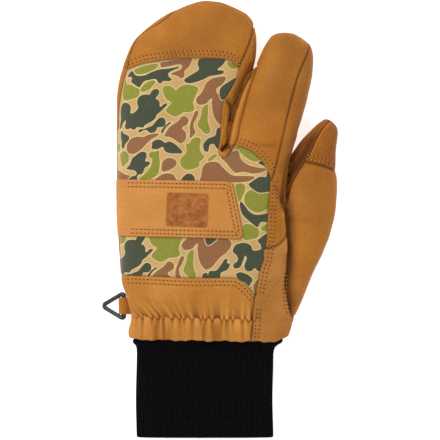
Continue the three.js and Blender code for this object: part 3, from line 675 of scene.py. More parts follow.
cap_lower = curve(
    on_hand(
        [
            (0.062, 0.796),
            (0.135, 0.81),
            (0.21, 0.818),
            (0.317, 0.824),
            (0.423, 0.828),
            (0.532, 0.829),
            (0.639, 0.826),
            (0.692, 0.818),
            (0.733, 0.798),
        ]
    )
)
cap_right = curve(on_hand([(0.768, 0.834), (0.795, 0.865), (0.816, 0.897), (0.828, 0.926)]))
cap_left = curve(
    on_hand(
        [
            (0.429, 0.997),
            (0.339, 0.966),
            (0.273, 0.939),
            (0.189, 0.915),
            (0.135, 0.894),
            (0.103, 0.868),
            (0.075, 0.834),
        ]
    )
)
cap_outline = np.concatenate(
    [cap_lower, cap_right, on_hand([(0.88, 0.96), (0.75, 1.02), (0.43, 1.02)]), cap_left]
)

gusset_pocket = curve(
    on_hand(
        [
            (0.828, 0.926),
            (0.816, 0.897),
            (0.795, 0.865),
            (0.768, 0.834),
            (0.741, 0.807),
            (0.729, 0.777),
            (0.692, 0.739),
            (0.652, 0.706),
            (0.638, 0.682),
            (0.63, 0.634),
            (0.624, 0.591),
            (0.614, 0.563),
            (0.624, 0.543),
            (0.649, 0.536),
            (0.676, 0.545),
        ]
    )
)
gusset_index = curve(
    on_index(
        [
            (0.346, -0.88),
            (0.403, -0.79),
            (0.473, -0.8),
            (0.531, -0.8),
            (0.59, -0.82),
            (0.634, -0.82),
            (0.692, -0.84),
            (0.75, -0.9),
            (0.797, -0.97),
        ]
    )
)


def between_fingers(shares):
    ys = np.array(shares) * SHELL_LENGTH
    return np.stack([(at(shell, "right", ys) + at(index, "left", ys)) / 2, ys], axis=1)


gusset_outline = np.concatenate([gusset_pocket, gusset_index, between_fingers([0.82, 0.86, 0.9])])

index_lower = curve(
    on_hand([(0.714, 0.57), (0.768, 0.563), (0.832, 0.545), (0.885, 0.515), (0.918, 0.484)])
)
index_side = curve(
    on_index(
        [
            (0.137, 0.44),
            (0.169, 0.52),
            (0.237, 0.58),
            (0.341, 0.6),
            (0.444, 0.6),
            (0.527, 0.56),
            (0.61, 0.54),
            (0.703, 0.55),
            (0.777, 0.58),
            (0.849, 0.73),
            (0.92, 0.96),
        ]
    )
)
index_outline = np.concatenate(
    [
        index_lower,
        index_side,
        on_index([(0.97, 1.5), (1.05, 1), (1.05, -1), (0.96, -1.6)]),
        between_fingers([0.86, 0.8, 0.74, 0.68, 0.62]),
        on_hand([(0.69, 0.56)]),
    ]
)

side_seam = curve(
    on_hand(
        [
            (0.923, 0.463),
            (0.92, 0.435),
            (0.912, 0.393),
            (0.907, 0.35),
            (0.904, 0.309),
            (0.896, 0.268),
            (0.885, 0.234),
            (0.864, 0.202),
            (0.853, 0.175),
            (0.834, 0.128),
        ]
    )
)
band_top = curve(
    on_hand(
        [
            (0.834, 0.128),
            (0.789, 0.151),
            (0.746, 0.17),
            (0.692, 0.178),
            (0.423, 0.178),
            (0.21, 0.183),
            (-OUTSIDE, 0.187),
        ]
    )
)
band_right = curve(on_hand([(0.806, -0.03), (0.813, 0.018), (0.817, 0.052), (0.825, 0.097)]))
band_outline = np.concatenate([band_right, band_top, on_hand([(-OUTSIDE, -0.03)])])

wrist_side_top = curve(
    on_hand(
        [
            (0.884, 0.265),
            (0.926, 0.267),
            (0.953, 0.271),
            (0.99, 0.283),
            (1.013, 0.297),
            (1.024, 0.318),
        ]
    )
)
wrist_side_ys = np.array([0.3, 0.26, 0.2, 0.16, 0.12, 0.06]) * SHELL_LENGTH
wrist_side_right = curve(np.stack([at(shell, "right", wrist_side_ys), wrist_side_ys], axis=1))
lower_side_seam = side_seam[side_seam[:, 1] < 0.235 * SHELL_LENGTH]
wrist_side_outline = np.concatenate(
    [
        lower_side_seam,
        band_right[::-1],
        on_hand([(1.15, -0.03), (1.15, 0.05)]),
        wrist_side_right[::-1],
        wrist_side_top[::-1],
    ]
)

back_outline = np.concatenate(
    [
        curve(
            on_hand(
                [
                    (-OUTSIDE, 0.617),
                    (-0.001, 0.617),
                    (0.008, 0.659),
                    (0.019, 0.706),
                    (0.043, 0.766),
                    (0.062, 0.796),
                ]
            )
        ),
        on_hand(
            [
                (0.2, 0.84),
                (0.65, 0.84),
                (0.76, 0.8),
                (0.76, 0.76),
                (0.72, 0.72),
                (0.68, 0.66),
                (0.66, 0.56),
                (0.72, 0.58),
                (0.85, 0.56),
                (0.925, 0.49),
            ]
        ),
        side_seam,
        on_hand([(0.8, 0.12), (-OUTSIDE, 0.17)]),
    ]
)

thumb_ridge = curve(
    on_thumb(
        [
            (0.99, 0.53),
            (0.96, -0.18),
            (0.905, -0.21),
            (0.847, -0.19),
            (0.785, -0.27),
            (0.736, -0.42),
            (0.672, -0.56),
            (0.611, -0.6),
        ]
    )
)
ridge_split = int(np.argmin(np.linalg.norm(thumb_ridge - on_thumb([(0.785, -0.27)]), axis=1)))
thumb_cap_seam = curve(
    on_thumb([(0.785, -0.27), (0.78, -0.04), (0.77, 0.36), (0.756, 0.69), (0.735, 1.1)])
)
thumb_cap_outline = np.concatenate(
    [
        thumb_ridge[: ridge_split + 1],
        thumb_cap_seam,
        on_thumb([(0.75, 2), (0.98, 3), (1.03, 2)]),
    ]
)
thumb_left_ys = np.array([0.36, 0.32, 0.26, 0.2, 0.16, 0.12, 0.09, 0.07]) * SHELL_LENGTH
thumb_back_outline = np.concatenate(
    [
        thumb_ridge[ridge_split:],
        np.stack([at(shell, "right", thumb_left_ys) - 0.5, thumb_left_ys], axis=1),
        on_thumb([(-0.05, 2), (0.3, 2.5), (0.72, 2)]),
        thumb_cap_seam[::-1],
    ]
)

hand_right_ys = np.array([0.09, 0.13, 0.16, 0.2, 0.23, 0.26, 0.29, 0.32, 0.36, 0.41, 0.46])
hand_right_ys = hand_right_ys * SHELL_LENGTH
thumb_front_outline = np.concatenate(
    [
        np.stack([at(shell, "right", hand_right_ys), hand_right_ys], axis=1),
        on_index([(a, 1.08) for a in (0.17, 0.25, 0.32, 0.38, 0.46)]),
        on_thumb([(1.05, -2), (1.05, 3), (0.5, 3), (0.06, 3)]),
    ]
)
index_front_outline = np.concatenate(
    [
        curve(on_index([(0.295, -1), (0.23, -0.2), (0.19, 0.5), (0.17, 1.3)])),
        on_hand([(1.3, 0.5), (1.3, 0.9)]),
        on_index([(1.05, 2), (1.05, -1), (0.96, -1.6)]),
        between_fingers([0.86, 0.8, 0.74, 0.68, 0.62]),
    ]
)

# Heights of the side seams, where the panels of the back meet the palm's leather
BACK_LOW = 0.4 * HAND_HEIGHT
CAP_LOW = 0.35 * HAND_HEIGHT
INDEX_LOW = 0.44 * HAND_HEIGHT
GUSSET_LOW = 0.25 * HAND_HEIGHT
THUMB_LOW = 0.42 * THUMB_HEIGHT

# The panels, in the order that they are cut from the skin
PANELS = [
    # name, outline, lowest height
    ("finger_cap", cap_outline, CAP_LOW),
    ("finger_gusset", gusset_outline, GUSSET_LOW),
    ("index_back", index_outline, INDEX_LOW),
    ("wrist_band", band_outline, CAP_LOW),
    ("wrist_side", wrist_side_outline, BACK_LOW),
    ("thumb_cap", thumb_cap_outline, THUMB_LOW),
    ("thumb_back", thumb_back_outline, THUMB_LOW),
    ("cloth_back", back_outline, BACK_LOW),
    ("thumb_front", thumb_front_outline, -9.0),
    ("index_front", index_front_outline, -9.0),
]
NAMES = ["palm"] + [name for name, _, _ in PANELS]
CLOTH = NAMES.index("cloth_back")

# Gathers, undulations and creases, as heights over the form, with painted shade in their valleys and painted highlight
# on their crests


def pleats(turn, sharpness):
    """Rounded folds with narrow valleys between, from 0 to 1."""
    return (0.5 + 0.5 * np.cos(2 * np.pi * turn)) ** sharpness


def gathers(plan, up):
    """Height of the gathers at each point, and the painted shade in their folds, from 0 to 1, less a painted highlight
    on their crests.
    """
    x, y = plan.T
    elastic = ELASTIC_LEFT + (ELASTIC_RIGHT - ELASTIC_LEFT) * np.clip((x - 10) / 85, 0, 1)
    above = np.clip(y - elastic, 0, None)
    below = np.clip(elastic - y, 0, None)
    lean = 0.95 * np.clip((66 - x) / 50, 0, 1)
    root = x + lean * np.clip(above, 0, 9) + 0.5 * lean * np.clip(above - 9, 0, 20)
    stray = 0.9 * np.sin(0.41 * root + 0.6) + 0.6 * np.sin(0.93 * root + 2)
    turn = (root + stray) / PUCKER_PITCH
    tooth = 1 - 4 * np.abs(turn % 1 - 0.5)
    uneven = 0.75 + 0.25 * np.sin(0.37 * x + 1.1)
    off = y - elastic - 1.5 * uneven * tooth
    over = np.clip(off / 0.7 + 0.5, 0, 1)
    hanging = pleats(turn, 0.9)
    standing = pleats(turn - 0.5, 0.9)
    broad = pleats((root + 1.5 * stray) / 12.5 + 0.1, 0.9)
    flute = pleats((x + 1.6 * stray) / 8.3 + 0.3, 0.8)
    close_above = np.exp(-above / 4.2)
    close_below = np.exp(-below / 4.2)
    risen = np.clip(1 - above / (20 + 4 * np.sin(0.5 * x)), 0, 1) * (below <= 0)
    flared = np.clip(below / 6, 0, 1) * (0.65 + 0.35 * np.sin(0.19 * x + 2.2))
    pinch = np.exp(-((off / 0.55) ** 2))
    height = 1.6 * over * hanging * close_above + 1.7 * (1 - over) * standing * close_below
    height = height + 1.0 * broad * risen + 1.7 * flute * flared - 0.9 * pinch
    right = at(shell, "left", y) + GATHER_RIGHT * (at(shell, "right", y) - at(shell, "left", y))
    left = at(shell, "left", y) + 1.5
    shown = np.clip((x - left) / 5, 0, 1) * np.clip((right - x) / 4, 0, 1) * np.clip(up, 0, 1)
    # deep is painted shade in the valleys of the folds, and crest is a painted highlight on their ridges
    deep = 0.95 * over * (1 - hanging) ** 2 * close_above
    deep = deep + 0.95 * (1 - over) * (1 - standing) ** 2 * close_below
    deep = deep + 0.32 * (1 - broad) ** 3 * risen + 0.6 * (1 - flute) ** 3 * flared + 0.3 * pinch
    crest = over * hanging**3 * close_above + (1 - over) * standing**3 * close_below
    return shown * height, shown * (deep - 0.4 * crest)


def waves(points, size, seed):
    """Smooth noise from -1 to 1 with features of about one size."""
    shift = Vector((seed * 13.7, seed * 7.3, seed * 3.1))
    return np.array([noise.noise(Vector(p) / size + shift) for p in points])


# Creases, hollows and rolled edges charted on the photograph: the line, its width in
# millimetres, how high it rises, and how much painted shade it lays on, a painted highlight where that is negative
CREASES = [
    # the valley between the pocket and the index finger, down to the hollow at its root, with painted shade along it
    (
        [(253, 70), (250, 76), (246, 83.5), (240.9, 94), (237, 104.8), (233.6, 114),
         (231.2, 123), (229.8, 131.5), (228.6, 139.6), (227.4, 146)],
        0.95,
        -0.6,
        1.5,
    ),
    ([(250.5, 66), (246.5, 76), (242, 84), (237.5, 93.5), (234.5, 105)], 2.4, -0.5, 0.65),
    ([(222.4, 149.6), (224.6, 148), (227.6, 146.4)], 1.15, -3.4, 1.2),
    # the rolled edge round the hollow, with a painted highlight along it
    (
        [(219.2, 146.5), (218.9, 150.2), (221.2, 153.6), (225, 154.2), (228.6, 151.5),
         (230.9, 146.5), (232.9, 138), (235.2, 127), (238.6, 113), (243.6, 98), (250, 82)],
        1.0,
        0.9,
        -0.32,
    ),
    # a pinch in the left strip of the gusset, with painted shade in it, and a fold below it with a painted highlight
    ([(228.5, 101.8), (231.6, 108), (232, 113), (230.6, 121)], 1.5, -1.3, 0.75),
    ([(222.5, 138), (225, 127), (227.5, 118)], 1.4, 0.4, -0.2),
    ([(233, 82), (229.5, 93)], 2.4, 0.3, -0.2),
    # faint bends across the backs of the index finger and the thumb, with painted shade in them
    ([(256.7, 144.8), (265, 146.2), (273.9, 145.9)], 1.3, -0.45, 0.3),
    ([(290, 219.5), (300, 221), (312, 221.5)], 1.6, -0.35, 0.12),
    # the valley between the hand and the thumb, with painted shade in it that spreads onto the thumb's side, and a
    # painted highlight on the hand's edge beside it
    (
        [(290, 157.6), (284.6, 181.6), (283.3, 200.2), (286, 210.9), (287.6, 221.5),
         (288.6, 234.8), (289.6, 248.2), (289.4, 268.1), (287.6, 282.8), (289, 297.4),
         (292.5, 313.4)],
        1.5,
        -1.8,
        0.8,
    ),
    (
        [(286.5, 196), (290, 212), (291.4, 232), (292, 262), (290.8, 285), (292.6, 303)],
        3.0,
        -0.5,
        0.62,
    ),
    ([(283.2, 214), (285.4, 226), (286.4, 250)], 1.6, 0.6, -0.25),
    # puckers in the strip between the cloth and the thumb, with painted shade in the hollow and a painted highlight on
    # the ridge
    ([(274.5, 186), (279, 193), (281.5, 202)], 1.6, -0.7, 0.3),
    ([(273.5, 200), (279, 209), (283, 216)], 1.8, 0.6, -0.1),
    # broad darker patches, with no fold; the one along the right side of the index finger is painted shade at its edge
    ([(236, 20), (205, 36), (176, 52)], 12.0, 0.0, 0.26),
    ([(293, 30), (286, 62), (279, 96)], 12.0, 0.0, 0.34),
    ([(318, 175), (312, 205)], 11.0, 0.0, 0.3),
    ([(262, 290), (262, 320)], 8.0, 0.0, 0.1),
    ([(317, 42), (305, 95), (296, 140)], 5.0, 0.0, 0.28),
    ([(287, 168), (297, 150), (309, 135)], 7.0, 0.0, 0.3),
]


def relief(points, normals):
    """Height of the folds over the form at each point, and the painted shade they lay on it, with painted highlight
    where that is negative.
    """
    up = np.clip(normals[:, 2] * 1.6 - 0.1, 0, 1)
    plan = points[:, :2]
    height, dark = gathers(plan, up)
    height = height + 0.45 * waves(points, 26.0, 1) + 0.22 * waves(points, 11.0, 2)
    for chart, width, rise, deep in CREASES:
        line = curve(from_photo(chart), 2.0)
        near = np.exp(-((distance_to_line(plan, line) / width) ** 2)) * up
        height = height + rise * near
        dark = dark + deep * near
    return height, dark


# The whole skin, with its panels

net_points, net_quads = net_over(form_distance, (-5, -5, -2), (154, 232, 42), NET)
net_points = relaxed(net_points, net_quads, form_distance)
net_faces = halves(net_quads, net_points)
net_normals = unit(slope_of(form_distance, net_points))
plan_points = net_points[:, :2]
hem_wave = 0.35 * np.sin(plan_points[:, 0] * 0.31 + 1) + 0.25 * np.sin(plan_points[:, 0] * 0.83)
hem_wave = hem_wave * np.clip(net_normals[:, 2], 0, 1)
across_hem = plan_points[:, 0] / HAND_WIDTH
hem_drop = 0.9 + 1.8 * np.clip(across_hem, 0, 1)
hem_drop = hem_drop - 4.4 * np.clip((across_hem - 0.93) / 0.11, 0, 1) ** 2
hem_drop = hem_drop - 1.4 * np.clip((0.13 - across_hem) / 0.06, 0, 1) ** 2
marks = {
    "normal": net_normals,
    "hem": plan_points[:, 1] + hem_drop + hem_wave,
}
for name, outline, low in PANELS:
    marks[name] = np.minimum(inside_outline(plan_points, outline), net_points[:, 2] - low)
patch_middle = np.array(
    [
        PATCH_CENTRE * HAND_WIDTH,
        STRAP_AT * SHELL_LENGTH + STRAP_TILT * PATCH_CENTRE * HAND_WIDTH,
    ]
) + np.array([0.9, -1.2])


def strap_outline():
    half = STRAP_WIDTH / 2
    middle = STRAP_AT * SHELL_LENGTH
    lean = 0.19 * STRAP_WIDTH
    rounding = 0.12 * STRAP_WIDTH
    drop = STRAP_TILT * STRAP_LENGTH
    end = curve(
        [
            (STRAP_LENGTH - lean - rounding, middle + drop + half),
            (STRAP_LENGTH - lean - 0.25 * rounding, middle + drop + half - 0.3 * rounding),
            (STRAP_LENGTH - lean + 0.2 * rounding, middle + drop + half - rounding),
            (STRAP_LENGTH - 0.12 * rounding, middle + drop - half + 0.9 * rounding),
            (STRAP_LENGTH - 0.2 * rounding, middle + drop - half + 0.3 * rounding),
            (STRAP_LENGTH - 0.6 * rounding, middle + drop - half - 0.12 * rounding),
            (STRAP_LENGTH - 1.2 * rounding, middle + drop - half - 0.12 * rounding),
        ],
        0.5,
    )
    left = -OUTSIDE * HAND_WIDTH
    return np.concatenate([[(left, middle + half)], end, [(left, middle - half)]])


STRAP_OUTLINE = strap_outline()
marks["strap"] = np.minimum(
    inside_outline(plan_points, STRAP_OUTLINE), net_points[:, 2] - BACK_LOW
)
turned = math.radians(2.5)
to_patch = (plan_points - patch_middle) @ np.array(
    [[math.cos(turned), math.sin(turned)], [-math.sin(turned), math.cos(turned)]]
)
from_core = np.abs(to_patch) - [PATCH_WIDTH / 2 - PATCH_ROUNDING, PATCH_HEIGHT / 2 - PATCH_ROUNDING]
marks["patch"] = PATCH_ROUNDING - np.where(
    from_core.max(axis=1) > 0, np.linalg.norm(np.clip(from_core, 0, None), axis=1), from_core.max(axis=1)
)

skin = Skin(net_points, net_faces, marks, np.zeros(len(net_faces), np.int64))
skin.split("hem")
skin = skin.part(skin.marks["hem"][skin.faces].mean(axis=1) > 0)
base_skin = skin.part(np.ones(len(skin.faces), bool))
for number, (name, _, _) in enumerate(PANELS, start=1):
    skin.split(name)
    inside = skin.marks[name][skin.faces].mean(axis=1) > 0
    skin.panel[inside & (skin.panel == 0)] = number


# Materials


def material(name):
    made = bpy.data.materials.new(name)
    made.use_nodes = True
    tree = made.node_tree
    return made, tree, tree.nodes["Principled BSDF"]


def add(tree, kind, inputs=(), **settings):
    """A node with its settings and inputs: values are set and sockets are linked."""
    made = tree.nodes.new(kind)
    for key, value in settings.items():
        setattr(made, key, value)
    for key, value in dict(inputs).items():
        if isinstance(value, bpy.types.NodeSocket):
            tree.links.new(value, made.inputs[key])
        else:
            made.inputs[key].default_value = value
    return made


def maths(tree, operation, a, b=0.0, clamp=False):
    return add(tree, "ShaderNodeMath", {0: a, 1: b}, operation=operation, use_clamp=clamp).outputs[0]


def mix(tree, share, a, b, blend="MIX"):
    inputs = {0: share, 6: a, 7: b}
    made = add(tree, "ShaderNodeMix", inputs, data_type="RGBA", blend_type=blend)
    return made.outputs[2]


def mark(tree, name):
    made = tree.nodes.new("ShaderNodeAttribute")
    made.attribute_name = name
    return made.outputs["Fac"]


def place(tree):
    return tree.nodes.new("ShaderNodeTexCoord").outputs["Object"]


def cloud(tree, scale, detail=3.0, roughness=0.5, where=None):
    inputs = {"Vector": where or place(tree), "Scale": scale, "Detail": detail}
    inputs["Roughness"] = roughness
    return add(tree, "ShaderNodeTexNoise", inputs).outputs["Fac"]


def spread(tree, value, low, high):
    inputs = {"Value": value, "From Min": low, "From Max": high}
    return add(tree, "ShaderNodeMapRange", inputs).outputs["Result"]


def bump(tree, height, distance, strength=1.0, after=None):
    inputs = {"Height": height, "Distance": distance, "Strength": strength}
    if after:
        inputs["Normal"] = after
    return add(tree, "ShaderNodeBump", inputs).outputs["Normal"]


def colour(red, green, blue):
    """A colour given as it shows on a screen, from 0 to 255, as the shader takes it."""
    out = []
    for part in (red, green, blue):
        part = part / 255
        out.append(part / 12.92 if part <= 0.04045 else ((part + 0.055) / 1.055) ** 2.4)
    return (*out, 1.0)


def leather(name, light, dark, with_patch=False):
    made, tree, shader = material(name)
    broad = spread(tree, cloud(tree, 38.0, 4.0), 0.3, 0.7)
    tone = mix(tree, broad, colour(*dark), colour(*light))
    fine = spread(tree, cloud(tree, 420.0, 4.0, 0.65), 0.35, 0.65)
    speckle = mix(tree, maths(tree, "MULTIPLY", fine, 0.35), tone, colour(*dark))
    pores = add(
        tree, "ShaderNodeTexVoronoi", {"Vector": place(tree), "Scale": 950.0}
    ).outputs["Distance"]
    pitted = spread(tree, pores, 0.0, 0.35)
    # painted shade where the shade mark is positive, and a painted highlight that lightens the colour where it is
    # negative; deep is the colour of the painted shade
    shade = maths(tree, "MULTIPLY", mark(tree, "shade"), 0.8, clamp=True)
    painted_highlight = maths(tree, "MULTIPLY", mark(tree, "shade"), -0.9, clamp=True)
    wear_and_highlight = mix(tree, painted_highlight, speckle, colour(*[min(part * 1.22 + 14, 250) for part in light]))
    deep = colour(*[part * share for part, share in zip(dark, (0.4, 0.3, 0.16))])
    shaded = mix(tree, shade, wear_and_highlight, deep)
    if with_patch:
        burn = mark(tree, "burnish")
        mottled = spread(tree, cloud(tree, 260.0, 5.0, 0.7), 0.35, 0.65)
        burnt = mix(tree, mottled, colour(134, 74, 32), colour(182, 112, 56))
        shaded = mix(tree, maths(tree, "MULTIPLY", burn, 1.0, clamp=True), shaded, burnt)
    tree.links.new(shaded, shader.inputs["Base Color"])
    rough = spread(tree, fine, -1.0, 2.0)
    tree.links.new(maths(tree, "ADD", rough, 0.12), shader.inputs["Roughness"])
    creased = bump(tree, cloud(tree, 150.0, 3.0), 0.0009, 0.5)
    grained = bump(tree, pitted, 0.0003, 0.5, creased)
    tree.links.new(bump(tree, fine, 0.0004, 0.6, grained), shader.inputs["Normal"])
    shader.inputs["Specular IOR Level"].default_value = 0.12
    shader.inputs["Sheen Weight"].default_value = 0.03
    shader.inputs["Sheen Roughness"].default_value = 0.5
    return made


def printed_cloth():
    made, tree, shader = material("printed_cloth")
    warm = spread(tree, cloud(tree, 45.0, 3.0), 0.35, 0.65)
    ground = mix(tree, warm, colour(190, 154, 94), colour(204, 162, 106))
    cream = colour(218, 192, 136)
    shown = ground
    grain = spread(tree, cloud(tree, 900.0, 2.0, 0.7), 0.3, 0.7)
    for name, flat, wear_and_highlight, halo in (
        ("light_green", (126, 128, 33), (142, 143, 50), 0.62),
        ("brown", (134, 86, 48), (148, 100, 62), 0.62),
        ("dark_green", (52, 60, 42), (70, 76, 54), 0.62),
    ):
        edge = mark(tree, name)
        lined = spread(tree, edge, -halo - 0.15, -halo + 0.1)
        filled = spread(tree, edge, -0.12, 0.12)
        ink = mix(tree, grain, colour(*flat), colour(*wear_and_highlight))
        shown = mix(tree, maths(tree, "MULTIPLY", lined, 0.8), shown, cream)
        shown = mix(tree, filled, shown, ink)
    shade = maths(tree, "MULTIPLY", mark(tree, "shade"), 0.75, clamp=True)
    shown = mix(tree, shade, shown, colour(52, 42, 22))
    tree.links.new(shown, shader.inputs["Base Color"])
    where = place(tree)
    threads = []
    for angle in (0.4, 0.4 + math.pi / 2):
        turn = add(tree, "ShaderNodeMapping", {"Vector": where, "Rotation": (0, 0, angle)})
        wave = add(
            tree,
            "ShaderNodeTexWave",
            {"Vector": turn.outputs[0], "Scale": 380.0, "Distortion": 1.2, "Detail": 1.0},
            wave_type="BANDS",
        )
        threads.append(wave.outputs["Fac"])
    weave = maths(tree, "MAXIMUM", threads[0], threads[1])
    rumple = bump(tree, cloud(tree, 120.0, 3.0), 0.0008, 0.45)
    tree.links.new(bump(tree, weave, 0.00022, 0.6, rumple), shader.inputs["Normal"])
    shader.inputs["Roughness"].default_value = 0.82
    shader.inputs["Specular IOR Level"].default_value = 0.2
    shader.inputs["Sheen Weight"].default_value = 0.25
    shader.inputs["Sheen Roughness"].default_value = 0.6
    return made


def knit():
    made, tree, shader = material("knit")
    fuzz = spread(tree, cloud(tree, 700.0, 4.0, 0.7), 0.3, 0.7)
    tone = mix(tree, fuzz, colour(8, 8, 10), colour(20, 19, 23))
    shade = maths(tree, "MULTIPLY", mark(tree, "shade"), 0.85, clamp=True)
    tree.links.new(mix(tree, shade, tone, colour(3, 3, 4)), shader.inputs["Base Color"])
    along = maths(tree, "MULTIPLY", mark(tree, "course"), 2 * math.pi)
    lean = maths(tree, "MULTIPLY", maths(tree, "ABSOLUTE", mark(tree, "wale")), 2.4)
    stitch = maths(tree, "SINE", maths(tree, "ADD", along, lean))
    looped = bump(tree, stitch, 0.0005, 0.7)
    tree.links.new(bump(tree, fuzz, 0.0003, 0.6, looped), shader.inputs["Normal"])
    shader.inputs["Roughness"].default_value = 0.95
    shader.inputs["Specular IOR Level"].default_value = 0.06
    return made


def clip_plastic():
    made, tree, shader = material("clip_plastic")
    wear_and_highlight = spread(tree, cloud(tree, 500.0, 4.0), 0.35, 0.65)
    tone = mix(tree, wear_and_highlight, colour(26, 26, 29), colour(40, 40, 44))
    tree.links.new(tone, shader.inputs["Base Color"])
    tree.links.new(
        maths(tree, "ADD", maths(tree, "MULTIPLY", wear_and_highlight, 0.15), 0.32), shader.inputs["Roughness"]
    )
    tree.links.new(bump(tree, cloud(tree, 1400.0, 2.0), 0.0001, 0.5), shader.inputs["Normal"])
    shader.inputs["Specular IOR Level"].default_value = 0.5
    return made


def thread(name, light, dark):
    made, tree, shader = material(name)
    twist = spread(tree, cloud(tree, 1500.0, 2.0), 0.3, 0.7)
    tree.links.new(mix(tree, twist, colour(*dark), colour(*light)), shader.inputs["Base Color"])
    tree.links.new(bump(tree, twist, 0.0002, 0.6), shader.inputs["Normal"])
    shader.inputs["Roughness"].default_value = 0.7
    shader.inputs["Specular IOR Level"].default_value = 0.15
    return made


golden_leather = leather("golden_leather", (200, 136, 62), (178, 113, 42))
tan_leather = leather("tan_leather", (186, 122, 48), (164, 100, 31))
side_leather = leather("side_leather", (190, 130, 64), (168, 108, 44))
brown_leather = leather("brown_leather", (172, 108, 40), (146, 84, 25))
strap_leather = leather("strap_leather", (205, 142, 74), (191, 126, 59), with_patch=True)
cloth_material = printed_cloth()
knit_material = knit()
clip_material = clip_plastic()
lining_material = thread("lining", (46, 44, 42), (30, 29, 28))
thread_material = thread("sewing_thread", (198, 140, 74), (168, 112, 54))
# the needle holes are small dark balls, painted shade standing in for the holes
hole_shade_material = thread("needle_hole_shade", (92, 50, 18), (66, 34, 11))

PANEL_MATERIAL = {
    "cloth_back": cloth_material,
    "wrist_band": golden_leather,
    "wrist_side": side_leather,
    "thumb_cap": brown_leather,
    "finger_gusset": tan_leather,
    # thumb_front is cut from the darker brown leather partly as painted shade, for the side of the thumb that faces
    # the hand
    "thumb_front": brown_leather,
}
